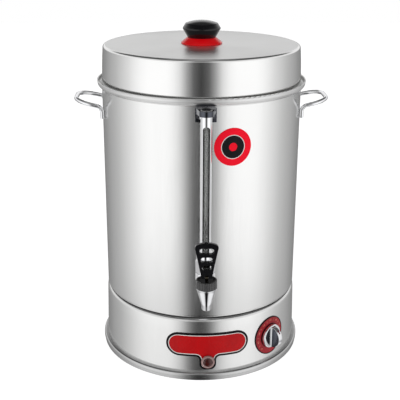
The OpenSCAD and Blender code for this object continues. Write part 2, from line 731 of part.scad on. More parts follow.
// Guard tube: a chromed tube with a long round-ended window in front of the glass
module guard_tube() color("silver") translate([0, gauge_y, 0]) difference() {
    translate([0, 0, guard_bottom]) cylinder(r = guard_r, h = guard_top - guard_bottom);
    translate([0, 0, guard_bottom - past]) cylinder(r = guard_r - guard_t, h = guard_top - guard_bottom + 2 * past);
    window_top = bracket_top - window_drop;
    window_h = window_top - gland_top - window_w / 2;
    translate([0, 0, window_top - window_h / 2]) rotate([90, 0, 0]) linear_extrude(2 * guard_r)
        rotate(90) rounded_bar(window_h, window_w);
}

module gauge_glass() color([0.85, 0.93, 0.95, 0.4]) translate([0, gauge_y, tap_z + shank_bore_r + 2]) difference() {
    glass_h = glass_top - tap_z - shank_bore_r - 2;
    cylinder(r = glass_r, h = glass_h);
    translate([0, 0, -past]) cylinder(r = glass_r - glass_t, h = glass_h + 2 * past);
}

// Gauge seals: rubber rings round the foot and the top of the glass
module gauge_seals() color("black") translate([0, gauge_y, 0]) {
    for (ring = [[neck_top - seal_pocket_h + seat_gap, neck_top, seal_pocket_r],
        [guard_top + fit_gap, glass_top, guard_r - guard_t]])
        translate([0, 0, ring[0]]) difference() {
            cylinder(r = ring[2] - fit_gap, h = ring[1] - ring[0]);
            translate([0, 0, -past]) cylinder(r = glass_r + fit_gap, h = ring[1] - ring[0] + 2 * past);
        }
}

// Gland nut: clamps the seal and holds the guard tube's foot
module gland_nut() color("silver") translate([0, gauge_y, cup_top + rest_gap]) difference() {
    intersection() {
        cylinder(r = cup_r + 0.6, h = gland_h, $fn = 6);
        turned(concat([[0, 0], [cup_r, 0]], arc(cup_r - 4, gland_h - 4, 4.2, 0, 90), [[0, gland_h]]));
    }
    translate([0, 0, -past]) cylinder(r = neck_r + fit_gap, h = neck_h - rest_gap + past);
    cylinder(r = guard_r + fit_gap, h = gland_h + past);
}

// Tap body: shank and flange, the cup for the gauge, and the conical spout with its valve chamber
module tap_body() color("silver") difference() {
    union() {
        facing(0, tap_z) translate([0, 0, inside_r - shank_in]) cylinder(r = shank_r, h = tap_out + shank_in + tank_t);
        facing(0, tap_z) translate([0, 0, -flange_y]) cylinder(r = flange_r, h = flange_t);
        intersection() {
            translate([0, gauge_y, tap_z]) turned([[0, 0], [shank_r, 0], [cup_r, cup_h / 2], [cup_r, cup_h],
                [neck_r, cup_h], [neck_r, cup_h + neck_h], [0, cup_h + neck_h]]);
            translate([-2 * cup_r, flange_y - 4 * cup_r, tap_z - past])
                cube([4 * cup_r, 4 * cup_r, cup_h + neck_h + 2 * past]);
        }
        translate([0, tap_y, 0]) turned(concat([[0, tip_z]], arc(tip_r - 1.5, tip_z + 1.5, 1.5, -90, 0, 5),
            [[tip_r, tip_z + tip_h], [cone_r, cone_z - 1.5], [cone_r, cone_z], [bonnet_thread_r, cone_z],
                [bonnet_thread_r, deck_under - rest_gap], [0, deck_under - rest_gap]]));
    }
    facing(0, tap_z) translate([0, 0, inside_r - shank_in - past])
        cylinder(r = shank_bore_r, h = tap_out + shank_in + tank_t + past - outlet_r - 1.2);
    translate([0, gauge_y, tap_z]) cylinder(r = glass_r + fit_gap, h = cup_h + neck_h + past);
    translate([0, gauge_y, neck_top - seal_pocket_h]) cylinder(r = seal_pocket_r, h = seal_pocket_h + past);
    translate([0, tap_y, seat_z]) cylinder(r = chamber_r, h = deck_under);
    translate([0, tap_y, tip_z - past]) cylinder(r = outlet_r, h = seat_z - tip_z + 2 * past);
}

// Gaskets: saddle washers outside and inside the wall
module tap_gaskets() color("black") difference() {
    facing(0, tap_z) translate([0, 0, inside_r - gasket_t]) cylinder(r = flange_r, h = tank_t + 2 * gasket_t - seat_gap);
    facing(0, tap_z) cylinder(r = shank_r + fit_gap, h = 2 * tank_r);
    difference() {
        translate([0, 0, tap_z - 2 * flange_r]) cylinder(r = tank_r + seat_gap, h = 4 * flange_r);
        translate([0, 0, tap_z - 3 * flange_r]) cylinder(r = inside_r - seat_gap, h = 6 * flange_r);
    }
}

module tap_backnut() color("silver") facing(0, tap_z) translate([0, 0, inside_r - gasket_t - seat_gap - backnut_t])
    hex_nut(backnut_r, backnut_t, shank_r + fit_gap);

// Bonnet: a ribbed ring nut with a deck on which the lever's heel rides
module tap_bonnet() color("black") translate([0, tap_y, 0]) difference() {
    translate([0, 0, bonnet_z]) turned([[0, 0], [bonnet_r - 0.5, 0], [bonnet_r, 0.5], [bonnet_r, bonnet_h - 0.6],
        [bonnet_r - 0.6, bonnet_h], [0, bonnet_h]]);
    translate([0, 0, bonnet_z - past]) cylinder(r = bonnet_thread_r + fit_gap, h = deck_under - bonnet_z + past);
    translate([0, 0, deck_z]) cylinder(r = bonnet_r - bonnet_wall, h = recess_h + past);
    translate([0, 0, deck_under - past]) cylinder(r = stem_r + rest_gap, h = deck_t + 2 * past);
    for (i = [0:rib_count - 1]) rotate([0, 0, 360 / rib_count * i])
        translate([bonnet_r + 0.1, 0, bonnet_z - past]) cylinder(r = rib_groove_r, h = bonnet_h + 2 * past, $fn = 24);
}

// Stem: carries the seal below, the spring on its flange and the lever's pin in its eye
module valve_stem() color("goldenrod") translate([0, tap_y, 0]) difference() {
    union() {
        translate([0, 0, seal_z + seal_h / 2]) cylinder(r = stem_r, h = pin_z - seal_z - seal_h / 2);
        translate([0, 0, seal_top + fit_gap]) cylinder(r = stem_flange_r, h = spring_z - seal_top - fit_gap);
        translate([-eye_t / 2, 0, pin_z]) rotate([0, 90, 0]) cylinder(r = eye_r, h = eye_t);
    }
    translate([-eye_t, 0, pin_z]) rotate([0, 90, 0]) cylinder(r = pin_r, h = 2 * eye_t);
}

module valve_seal() color("dimgray") translate([0, tap_y, seal_z]) difference() {
    turned([[0, 0], [seal_r - 1, 0], [seal_r, 1], [seal_r, seal_h - 1.5], [seal_r - 1.5, seal_h], [0, seal_h]]);
    translate([0, 0, seal_h / 2 - fit_gap]) cylinder(r = stem_r + fit_gap, h = seal_h);
}

// Spring: a wire swept along a helix between the stem's flange and the deck
module valve_spring() color("silver") {
    sides = 6;
    steps = 12 * coil_turns;
    low = spring_z + wire_r;
    rise = deck_under - spring_z - 2 * wire_r;
    points = [for (i = [0:steps], j = [0:sides - 1])
        let (a = 360 * coil_turns * i / steps, b = 360 * j / sides, r = coil_r + wire_r * cos(b))
        [r * cos(a), r * sin(a), low + rise * i / steps + wire_r * sin(b)]];
    skin = [for (i = [0:steps - 1], j = [0:sides - 1])
        let (k = (j + 1) % sides) [i * sides + j, (i + 1) * sides + j, (i + 1) * sides + k, i * sides + k]];
    ends = [[for (j = [0:sides - 1]) j], [for (j = [sides - 1:-1:0]) steps * sides + j]];
    translate([0, tap_y, 0]) polyhedron(points, concat(skin, ends));
}

module lever_pin() color("silver") translate([-lever_foot_w / 2, tap_y, pin_z]) rotate([0, 90, 0])
    cylinder(r = pin_r - fit_gap, h = lever_foot_w);

// Lever heel: an involute cam, so that it stays on the deck while it lifts the stem evenly
function heel(n = 8) = let (low = pin_rise - rest_gap, k = valve_lift / lever_angle * 180 / PI)
    [for (i = [0:n]) let (a = lever_angle * i / n, h = low + valve_lift * i / n)
        [-h * sin(a) - k * cos(a), -h * cos(a) + k * sin(a)]];
function lever_back(s) = lever_bow * sin(180 * s);
function lever_half_t(s) = (lever_foot_t + (lever_tip_t - lever_foot_t) * s) / 2;

// Lever seen from the front: straight foot, widening blade and crowned head
module lever_front() {
    head = lever_head_w / 2 - lever_corner_r;
    tilt = asin(head / (lever_crown_r - lever_corner_r));
    corner_y = lever_h - lever_crown_r + (lever_crown_r - lever_corner_r) * cos(tilt);
    half = concat([[lever_foot_w / 2, -2 * pin_rise], [lever_foot_w / 2, lever_neck_h]],
        arc(head, corner_y, lever_corner_r, -14, 90 - tilt, 6), arc(0, lever_h - lever_crown_r, lever_crown_r, 90 - tilt, 90, 4));
    polygon(concat(half, reversed([for (p = half) [-p.x, p.y]])));
}

// Lever seen from the side: cam heel below the pin and a bowed, thinning blade above
module lever_side() {
    steps = 8;
    back = [for (i = [0:steps]) let (s = i / steps) [lever_back(s) + lever_half_t(s), lever_h * s]];
    front = [for (i = [steps:-1:0]) let (s = i / steps) [lever_back(s) - lever_half_t(s), lever_h * s]];
    polygon(concat([[lever_foot_t / 2 - 1, -pin_rise + rest_gap], [lever_foot_t / 2, -pin_rise + rest_gap + 1]],
        back, front, reversed(heel())));
}

module tap_lever() color("black") translate([0, tap_y, pin_z]) difference() {
    intersection() {
        translate([0, lever_h, 0]) rotate([90, 0, 0]) linear_extrude(2 * lever_h) lever_front();
        translate([-lever_head_w, 0, 0]) rotate([90, 0, 90]) linear_extrude(2 * lever_head_w) lever_side();
    }
    translate([-eye_t / 2 - rest_gap, -2 * pin_rise, -2 * pin_rise])
        cube([eye_t + 2 * rest_gap, 4 * pin_rise, 2 * pin_rise + eye_r + 1]);
    translate([-lever_head_w, 0, 0]) rotate([0, 90, 0]) cylinder(r = pin_r, h = 2 * lever_head_w);
    for (i = [0:2]) translate([0, lever_h, slot_z[i]]) rotate([90, 0, 0]) linear_extrude(2 * lever_h)
        rounded_bar(slot_w[i], slot_h[i]);
}

// Heater legs stand either side of the gap in the ring, at the back
function leg_start(side) = [side * ring_r * sin(ring_gap), ring_r * cos(ring_gap), floor_top + ring_rise];
function leg_along(side) = [-side * cos(ring_gap), sin(ring_gap), 0];
function leg_at(side) = leg_start(side) + leg_along(side) * leg_bend_r;
module at_heater_legs() for (side = [-1, 1]) translate([leg_at(side).x, leg_at(side).y, 0]) children();

// Heating element: a tube bent to a ring, with two legs through the floor
module heating_element() color("gray") {
    ring_angle = ring_gap - bend_lap / ring_r * 180 / PI;
    translate([0, 0, floor_top + ring_rise]) rotate([0, 0, 90 + ring_angle])
        rotate_extrude(angle = 360 - 2 * ring_angle) translate([ring_r, 0]) circle(heater_r);
    for (side = [-1, 1]) bent_rod([leg_start(side), leg_at(side), [leg_at(side).x, leg_at(side).y, floor_z - leg_below]],
        [leg_bend_r], heater_r);
    at_heater_legs() {
        translate([0, 0, floor_top + heater_gasket_t]) cylinder(r = heater_collar_r, h = 2);
        translate([0, 0, floor_z - leg_below - 8]) cylinder(r = heater_r / 2, h = 8);
    }
}

module heater_gaskets() color("black") at_heater_legs() translate([0, 0, floor_top]) difference() {
    cylinder(r = heater_collar_r, h = heater_gasket_t);
    translate([0, 0, -past]) cylinder(r = heater_r + fit_gap, h = heater_gasket_t + 2 * past);
}

module heater_nuts() color("goldenrod") at_heater_legs() translate([0, 0, floor_z - heater_nut_h])
    hex_nut(heater_nut_r, heater_nut_h, heater_r + fit_gap);

// Thermostat body: a switch block on a strap screwed to the skirt
thermo_face = skirt_r(thermo_z) - skirt_t - 1.8;
thermo_back = thermo_face - 1.2 - thermo_d;
module thermostat_body() color("ivory") facing(thermo_turn, thermo_z) difference() {
    union() {
        translate([-thermo_w / 2, -thermo_w / 2, thermo_face - 1.2 - thermo_d]) cube([thermo_w, thermo_w, thermo_d]);
        translate([-thermo_screw_gap / 2 - 5, -5, thermo_face - 1.2]) cube([thermo_screw_gap + 10, 10, 1.2]);
        translate([0, 0, thermo_face - 1.2]) cylinder(r = shaft_r + 1.6, h = skirt_r(thermo_z) - thermo_face + 1.2);
    }
    translate([0, 0, thermo_face - thermo_d / 2]) cylinder(r = shaft_r + fit_gap, h = thermo_d);
    for (side = [-1, 1]) translate([side * thermo_screw_gap / 2, 0, thermo_face - 8])
        cylinder(r = cover_screw_r + fit_gap, h = 10);
}

module thermostat_screws() color("silver") for (side = [-1, 1]) facing(thermo_turn, thermo_z)
    translate([side * thermo_screw_gap / 2, 0, 0]) {
        translate([0, 0, turn_r - 0.3]) cylinder(r = 1.5 * cover_screw_r, h = 1.2);
        translate([0, 0, thermo_face - 7]) cylinder(r = cover_screw_r, h = turn_r - thermo_face + 7);
    }

module thermostat_shaft() color("silver") facing(thermo_turn, thermo_z)
    translate([0, 0, thermo_face - thermo_d / 2 + 1]) cylinder(r = shaft_r, h = turn_r + 12 - thermo_face + thermo_d / 2 - 1);

// Thermostat knob: a round skirt and a grip bar between two scoops, hollow behind the skirt
module thermostat_knob() color("gainsboro") facing(thermo_turn, thermo_z) translate([0, 0, turn_r + rest_gap]) difference() {
    turned(concat([[0, 0]], [[turn_knob_r, 0], [turn_knob_r, turn_skirt_h - 2]],
        arc(turn_knob_r - 2, turn_skirt_h - 2, 2, 0, 70, 4),
        arc(turn_crown_r - 3, turn_knob_h - 3, 3, 5, 90, 6), [[0, turn_knob_h]]));
    for (side = [-1, 1]) translate([side * (grip_w / 2 + scoop_r), turn_knob_r, turn_skirt_h + scoop_r])
        rotate([90, 0, 0]) cylinder(r = scoop_r, h = 2 * turn_knob_r);
    translate([0, 0, -past]) difference() {
        cylinder(r = turn_knob_r - 2, h = 3 + past);
        cylinder(r = shaft_r + 3, h = 3 + past);
    }
    translate([0, 0, -past]) cylinder(r = shaft_r + fit_gap, h = 12 - rest_gap + seat_gap + past);
}

// Dial: a thin disc that follows the skirt behind the knob
module thermostat_dial() color("firebrick") difference() {
    on_skirt(dial_t) facing(thermo_turn, thermo_z) translate([0, 0, tank_r / 2]) cylinder(r = dial_r, h = tank_r);
    skirt_hole(thermo_turn, thermo_z, shaft_r + 2);
    for (side = [-1, 1]) facing(thermo_turn, thermo_z) translate([side * thermo_screw_gap / 2, 0, tank_r / 2])
        cylinder(r = cover_screw_r + fit_gap, h = tank_r);
}

// Sensor bulb: a copper bulb clipped under the tank floor, with its capillary from the thermostat
bulb_z = floor_z - bulb_r - seat_gap;
module sensor_bulb() {
    function at(r, z) = [r * sin(thermo_turn), -r * cos(thermo_turn), z];
    color("peru") {
        towards(at(40, bulb_z), at(0, bulb_z)) cylinder(r = bulb_r, h = bulb_l);
        bent_rod([at(38, bulb_z), at(92, bulb_z), at(92, thermo_z + 6), at(thermo_back - seat_gap, thermo_z + 6)],
            [10, 10], capillary_r);
    }
}

module bulb_clips() color("silver") rotate([0, 0, thermo_turn - 90]) for (x = [-20, 20]) translate([x, 0, 0]) difference() {
    translate([-4, -9, bulb_z - bulb_r - 1]) cube([8, 18, floor_z - bulb_z + bulb_r + 1]);
    for (side = [-1, 1]) translate([-5, side * 6.5 - 3.5, bulb_z - bulb_r - 2]) cube([10, 7, floor_z - bulb_z + bulb_r + 1]);
    translate([-5, 0, bulb_z]) rotate([0, 90, 0]) cylinder(r = bulb_r + seat_gap, h = 10);
    translate([-5, -bulb_r - seat_gap, bulb_z]) cube([10, 2 * (bulb_r + seat_gap), bulb_r + 2]);
}

// Safety cut-out: a disc thermostat under the tank floor
module safety_cutout() color("ivory") translate([-45, 20, floor_z - cutout_h]) {
    cylinder(r = cutout_r, h = cutout_h - 3);
    translate([0, 0, cutout_h - 3]) cylinder(r = cutout_r + 2, h = 3);
    for (side = [-1, 1]) translate([side * 5 - 0.4, -3, -8]) cube([0.8, 6, 8]);
}

// Nameplate: a band with round ends and a tab below for the lamp, with filleted corners
module plate_outline() difference() {
    union() {
        rounded_bar(plate_w, plate_h);
        translate([-plate_tab_w / 2 - plate_fillet_r, -plate_h / 2 - plate_fillet_r])
            square([plate_tab_w + 2 * plate_fillet_r, plate_h / 2]);
        translate([-plate_tab_w / 2, plate_tab_r - plate_tab_drop]) square([plate_tab_w, plate_tab_drop - plate_tab_r]);
        for (side = [-1, 1]) translate([side * (plate_tab_w / 2 - plate_tab_r), plate_tab_r - plate_tab_drop])
            circle(plate_tab_r);
        translate([plate_tab_r - plate_tab_w / 2, -plate_tab_drop]) square([plate_tab_w - 2 * plate_tab_r, plate_tab_drop]);
    }
    for (side = [-1, 1]) translate([side * (plate_tab_w / 2 + plate_fillet_r), -plate_h / 2 - plate_fillet_r])
        circle(plate_fillet_r);
}

module nameplate() color("red") difference() {
    on_skirt(dial_t) facing(plate_turn, plate_z) linear_extrude(2 * tank_r) plate_outline();
    skirt_hole(plate_turn, lamp_z, lamp_body_r + fit_gap);
}

module lamp_bezel() color("silver") facing(plate_turn, lamp_z) translate([0, 0, lamp_face]) turned(concat(
    [[lens_r + fit_gap, 0], [bezel_r, 0]], arc(bezel_r - 1.2, bezel_h - 1.2, 1.2, 0, 90, 5),
    [[lens_r + 1, bezel_h], [lens_r + fit_gap, bezel_h - 1]]));

module lamp_lens() color("darkred") facing(plate_turn, lamp_z) translate([0, 0, lamp_face]) turned(concat([[0, 0],
    [lens_r, 0], [lens_r, bezel_h - 1]], [for (a = [15:15:90]) [lens_r * cos(a), bezel_h - 1 + 2.2 * sin(a)]]));

module lamp_body() color("white") facing(plate_turn, lamp_z) {
    translate([0, 0, lamp_face - lamp_body_l]) cylinder(r = lamp_body_r, h = lamp_body_l);
    translate([0, 0, skirt_r(lamp_z) - skirt_t - 3.6]) cylinder(r = lamp_body_r + 3, h = 3, $fn = 6);
    for (side = [-1, 1]) translate([side * 3 - 0.4, -2, lamp_face - lamp_body_l - 7]) cube([0.8, 4, 7]);
}

// Round label: a thin disc that follows the tank wall
module round_label() color("red") intersection() {
    difference() {
        cylinder(r = tank_r + seat_gap + label_t, h = rim_z);
        cylinder(r = tank_r + seat_gap, h = 3 * rim_z, center = true);
    }
    facing(label_turn, rim_z - label_drop) cylinder(r = label_r, h = 2 * tank_r);
}

// Cord gland: a hexagon and a domed clamp nut round an open hole
gland_face = skirt_r(gland_z - gland_r) + seat_gap;
module cord_gland() color("black") facing(180, gland_z) difference() {
    union() {
        translate([0, 0, gland_face - 9]) cylinder(r = gland_r - 3, h = 9);
        intersection() {
            translate([0, 0, gland_face]) cylinder(r = gland_r, h = 5, $fn = 6);
            translate([0, 0, gland_face]) cylinder(r = gland_r - 0.4, h = 5);
        }
        translate([0, 0, gland_face]) turned(concat([[0, 0], [gland_r - 1.6, 0]],
            arc(gland_r - 5.6, gland_out - 4, 4, 0, 90), [[0, gland_out]]));
    }
    translate([0, 0, gland_face - 9 - past]) cylinder(r = cord_hole_r, h = gland_out + 9 + 2 * past);
}

module gland_locknut() color("black") facing(180, gland_z) translate([0, 0, gland_face - skirt_t - 5.5])
    hex_nut(gland_r + 1, 4.5, gland_r - 3 + fit_gap);

// Terminal block: a row of screw terminals on the bottom cover
module terminal_block() color("ivory") translate([-terminal_l / 2, 70, cover_z + cover_t]) difference() {
    cube([terminal_l, 20, 16]);
    for (i = [0:3]) translate([terminal_l * (i + 0.5) / 4, 0, 0]) {
        translate([0, 6, 10]) cylinder(r = 2.2, h = 7);
        translate([0, 14, 10]) cylinder(r = 2.2, h = 7);
    }
    for (i = [1:3]) translate([terminal_l * i / 4 - 0.6, -past, 6]) cube([1.2, 20 + 2 * past, 11]);
}

// Earth stud: a bolt with two nuts on the bottom cover
module earth_stud() color("goldenrod") translate([45, 64, cover_z + cover_t]) {
    cylinder(r = 2.5, h = 16);
    for (z = [0, 7]) translate([0, 0, z]) cylinder(r = 5, h = 3.5, $fn = 6);
}

foot_ring();
base_skirt();
bottom_cover();
cover_tabs();
cover_screws();
seam_bolts();
seam_nuts();
tank_wall();
tank_floor();
left_handle();
right_handle();
lid_shell();
knob_collar();
lid_knob();
knob_screw();
gauge_bracket();
gauge_cap();
bracket_bolts();
guard_tube();
gauge_glass();
gauge_seals();
gland_nut();
tap_body();
tap_gaskets();
tap_backnut();
tap_bonnet();
valve_stem();
valve_seal();
valve_spring();
lever_pin();
tap_lever();
heating_element();
heater_gaskets();
heater_nuts();
thermostat_body();
thermostat_screws();
thermostat_shaft();
thermostat_knob();
thermostat_dial();
sensor_bulb();
bulb_clips();
safety_cutout();
nameplate();
lamp_bezel();
lamp_lens();
lamp_body();
round_label();
cord_gland();
gland_locknut();
terminal_block();
earth_stud();
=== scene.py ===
import math
import bpy
from mathutils import Matrix, Vector


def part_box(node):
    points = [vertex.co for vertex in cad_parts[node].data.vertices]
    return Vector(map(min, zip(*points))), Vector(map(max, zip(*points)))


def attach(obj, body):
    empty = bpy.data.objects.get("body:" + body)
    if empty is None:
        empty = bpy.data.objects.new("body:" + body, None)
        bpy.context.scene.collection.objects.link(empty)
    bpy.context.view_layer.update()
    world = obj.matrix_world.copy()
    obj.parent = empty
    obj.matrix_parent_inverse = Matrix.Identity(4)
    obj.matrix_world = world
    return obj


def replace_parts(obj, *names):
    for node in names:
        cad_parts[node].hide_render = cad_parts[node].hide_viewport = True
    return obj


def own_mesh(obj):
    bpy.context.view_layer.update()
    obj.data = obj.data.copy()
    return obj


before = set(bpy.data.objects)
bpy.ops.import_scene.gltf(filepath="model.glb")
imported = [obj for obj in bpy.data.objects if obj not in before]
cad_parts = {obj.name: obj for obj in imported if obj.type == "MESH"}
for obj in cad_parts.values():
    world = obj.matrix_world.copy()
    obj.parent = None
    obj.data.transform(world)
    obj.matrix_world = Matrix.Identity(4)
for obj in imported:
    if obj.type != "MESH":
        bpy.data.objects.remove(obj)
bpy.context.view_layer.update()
scene = bpy.context.scene
scene.view_settings.view_transform = "Standard"
print("frame:", len(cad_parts), "nodes")


# Node helpers: a value may be a plain number or another node's socket

def wire(tree, socket, value):
    if isinstance(value, bpy.types.NodeSocket):
        tree.links.new(value, socket)
    else:
        socket.default_value = value


def addNode(tree, kind, values=None, **settings):
    node = tree.nodes.new(kind)
    for key, value in settings.items():
        setattr(node, key, value)
    for key, value in (values or {}).items():
        wire(tree, node.inputs[key], value)
    return node


def calc(tree, operation, a, b=0.0, clamp=False):
    node = addNode(tree, "ShaderNodeMath", {0: a, 1: b}, operation=operation, use_clamp=clamp)
    return node.outputs[0]


def spread(tree, value, low, high, toLow=0.0, toHigh=1.0, kind="LINEAR"):
    node = addNode(tree, "ShaderNodeMapRange", {"Value": value, "From Min": low, "From Max": high,
                                                "To Min": toLow, "To Max": toHigh}, interpolation_type=kind)
    return node.outputs[0]


def blendColours(tree, amount, a, b):
    a, b = [value if isinstance(value, bpy.types.NodeSocket) else (*value, 1) for value in (a, b)]
    return addNode(tree, "ShaderNodeMix", {0: amount, 6: a, 7: b}, data_type="RGBA").outputs[2]


def newGroup(name, inputs, outputs):
    tree = bpy.data.node_groups.new(name, "ShaderNodeTree")
    for label, value in inputs.items():
        kind = "NodeSocketVector" if isinstance(value, tuple) else "NodeSocketFloat"
        tree.interface.new_socket(label, in_out="INPUT", socket_type=kind).default_value = value
    for label in outputs:
        kind = "NodeSocketVector" if label == "Normal" else "NodeSocketFloat"
        tree.interface.new_socket(label, in_out="OUTPUT", socket_type=kind)
    return tree, tree.nodes.new("NodeGroupInput").outputs, tree.nodes.new("NodeGroupOutput").inputs


def stretched(tree, stretch=(1.0, 1.0, 1.0)):
    coords = addNode(tree, "ShaderNodeTexCoord").outputs["Object"]
    return addNode(tree, "ShaderNodeVectorMath", {0: coords, 1: stretch}, operation="MULTIPLY").outputs[0]


def noise(tree, where, scale, **more):
    return addNode(tree, "ShaderNodeTexNoise", {"Vector": where, "Scale": scale, **more}).outputs["Fac"]


def axisParts(tree, vector):
    return addNode(tree, "ShaderNodeSeparateXYZ", {0: vector}).outputs


# Surface effects that several finishes share. Two numbers together say where a mask starts and is full.

polishLook = {"detail": 2.0, "fray": 0.7, "cloudScale": 0.03, "cloudDetail": 3.0, "cloud": (0.35, 0.65),
              "lines": (0.3, 0.7)}


def makePolishLines():
    look = polishLook
    inputs = {"Stretch": (1.0, 1.0, 1.0), "Fineness": 900.0}
    tree, given, out = newGroup("polishLines", inputs, ["Lines", "Cloud"])
    where = stretched(tree, given["Stretch"])
    fine = noise(tree, where, given["Fineness"], Detail=look["detail"], Roughness=look["fray"])
    broadScale = calc(tree, "MULTIPLY", given["Fineness"], look["cloudScale"])
    broad = noise(tree, where, broadScale, Detail=look["cloudDetail"])
    wire(tree, out["Lines"], fine)
    wire(tree, out["Cloud"], spread(tree, broad, *look["cloud"]))
    return tree


smudgeLook = {"detail": 4.0, "bend": 0.6, "reach": 0.7, "full": 0.75, "speckleScale": 14.0,
              "speckle": (0.3, 0.7), "faintest": 0.5}


def makeSmudges():
    look = smudgeLook
    tree, given, out = newGroup("smudges", {"Size": 0.05, "Sharpness": 0.3}, ["Smudge"])
    where = stretched(tree)
    scale = calc(tree, "DIVIDE", 1.0, given["Size"])
    patches = noise(tree, where, scale, Detail=look["detail"], Distortion=look["bend"])
    low = calc(tree, "SUBTRACT", look["reach"], given["Sharpness"])
    marks = spread(tree, patches, low, look["full"], kind="SMOOTHSTEP")
    speckle = noise(tree, where, calc(tree, "MULTIPLY", scale, look["speckleScale"]))
    broken = spread(tree, speckle, *look["speckle"], look["faintest"], 1.0)
    wire(tree, out["Smudge"], calc(tree, "MULTIPLY", marks, broken))
    return tree


mouldLook = {"flowDetail": 3.0, "flowBend": 1.2, "mottle": (0.3, 0.7)}


def makeMouldedSkin():
    look = mouldLook
    tree, given, out = newGroup("mouldedSkin", {"Pitch": 0.0008, "Flow": 0.03}, ["Height", "Mottle"])
    where = stretched(tree)
    grainScale, flowScale = [calc(tree, "DIVIDE", 1.0, given[label]) for label in ("Pitch", "Flow")]
    grain = addNode(tree, "ShaderNodeTexVoronoi", {"Vector": where, "Scale": grainScale})
    flow = noise(tree, where, flowScale, Detail=look["flowDetail"], Distortion=look["flowBend"])
    wire(tree, out["Height"], grain.outputs["Distance"])
    wire(tree, out["Mottle"], spread(tree, flow, *look["mottle"]))
    return tree


# Paler edges: wear on most pieces, and on the lamp bezel a painted highlight round the rim
rubAndSheenLook = {"samples": 4, "wornAndSheen": (0.995, 0.9), "breaks": (0.35, 0.6)}


def makeEdgeWearAndSheen():
    look = rubAndSheenLook
    tree, given, out = newGroup("edgeWearAndSheen", {"Width": 0.0004, "Breaks": 240.0}, ["Edge", "Normal"])
    rounded = addNode(tree, "ShaderNodeBevel", {"Radius": given["Width"]}, samples=look["samples"]).outputs[0]
    flat = addNode(tree, "ShaderNodeNewGeometry").outputs["Normal"]
    turn = addNode(tree, "ShaderNodeVectorMath", {0: rounded, 1: flat}, operation="DOT_PRODUCT")
    wornAndSheen = spread(tree, turn.outputs["Value"], *look["wornAndSheen"], kind="SMOOTHSTEP")
    patchy = noise(tree, stretched(tree), given["Breaks"])
    wire(tree, out["Edge"], calc(tree, "MULTIPLY", wornAndSheen, spread(tree, patchy, *look["breaks"])))
    wire(tree, out["Normal"], rounded)
    return tree


dustLook = {"detail": 3.0, "lying": (0.5, 1.0), "level": (0.97, 1.0), "grains": (0.4, 0.75)}


def makeDust():
    look = dustLook
    tree, given, out = newGroup("settledDust", {"Grain": 500.0}, ["Dust", "Level"])
    up = axisParts(tree, addNode(tree, "ShaderNodeNewGeometry").outputs["Normal"])["Z"]
    grains = noise(tree, stretched(tree), given["Grain"], Detail=look["detail"])
    lying = spread(tree, up, *look["lying"], kind="SMOOTHSTEP")
    wire(tree, out["Level"], spread(tree, up, *look["level"], kind="SMOOTHSTEP"))
    wire(tree, out["Dust"], calc(tree, "MULTIPLY", lying, spread(tree, grains, *look["grains"])))
    return tree


polishLines, smudges, mouldedSkin = makePolishLines(), makeSmudges(), makeMouldedSkin()
edgeWearAndSheen, settledDust = makeEdgeWearAndSheen(), makeDust()
print("surface effects ready")


def filled(tree, group, values):
    node = addNode(tree, "ShaderNodeGroup", None, node_tree=group)
    for key, value in values.items():
        wire(tree, node.inputs[key], value)
    return node.outputs


def blankFinish(name):
    material = bpy.data.materials.new(name)
    material.use_nodes = True
    return material, material.node_tree, material.node_tree.nodes["Principled BSDF"]


# Metal: polishing lines in its bump and roughness, finger smudges, brighter rubbed edges and a little dust
def metalFinish(name, look):
    material, tree, skin = blankFinish(name)
    lines = filled(tree, polishLines, {"Stretch": look["stretch"], "Fineness": look["fineness"]})
    marks = filled(tree, smudges, {"Size": look["smudgeSize"]})["Smudge"]
    rubAndSheen = filled(tree, edgeWearAndSheen, {"Width": look["edgeWidth"]})
    settled = filled(tree, settledDust, {})
    dust = calc(tree, "MULTIPLY", settled["Dust"], look["dust"])
    tarnished = calc(tree, "MULTIPLY", lines["Cloud"], look["tarnish"])
    colour = blendColours(tree, tarnished, look["colour"], look["shade"])
    rubbedAndSheen = calc(tree, "MULTIPLY", rubAndSheen["Edge"], look["rubbedAndSheen"])
    colour = blendColours(tree, rubbedAndSheen, colour, look["edgeColour"])
    wire(tree, skin.inputs["Base Color"], blendColours(tree, dust, colour, look["dustColour"]))
    smoothest, roughest = look["rough"] - look["roughSwing"], look["rough"] + look["roughSwing"]
    rough = spread(tree, lines["Lines"], *polishLook["lines"], smoothest, roughest)
    rough = calc(tree, "ADD", rough, calc(tree, "MULTIPLY", marks, look["smudge"]))
    if "mattAbove" in look:  # the rolled collar isn't polished like the wall below it
        height = axisParts(tree, addNode(tree, "ShaderNodeTexCoord").outputs["Object"])["Z"]
        full = look["mattAbove"] + look["mattOver"]
        rough = calc(tree, "ADD", rough, spread(tree, height, look["mattAbove"], full, 0.0, look["matt"]))
    if "buffedTop" in look:
        rough = calc(tree, "ADD", rough, calc(tree, "MULTIPLY", settled["Level"], look["buffedTop"]))
    dusty = calc(tree, "MULTIPLY", dust, look["dustRough"])
    wire(tree, skin.inputs["Roughness"], calc(tree, "ADD", rough, dusty, clamp=True))
    bump = addNode(tree, "ShaderNodeBump", {"Height": lines["Lines"], "Normal": rubAndSheen["Normal"],
                                            "Distance": look["relief"], "Strength": 1.0})
    wire(tree, skin.inputs["Normal"], bump.outputs[0])
    skin.inputs["Metallic"].default_value = 1.0
    return material


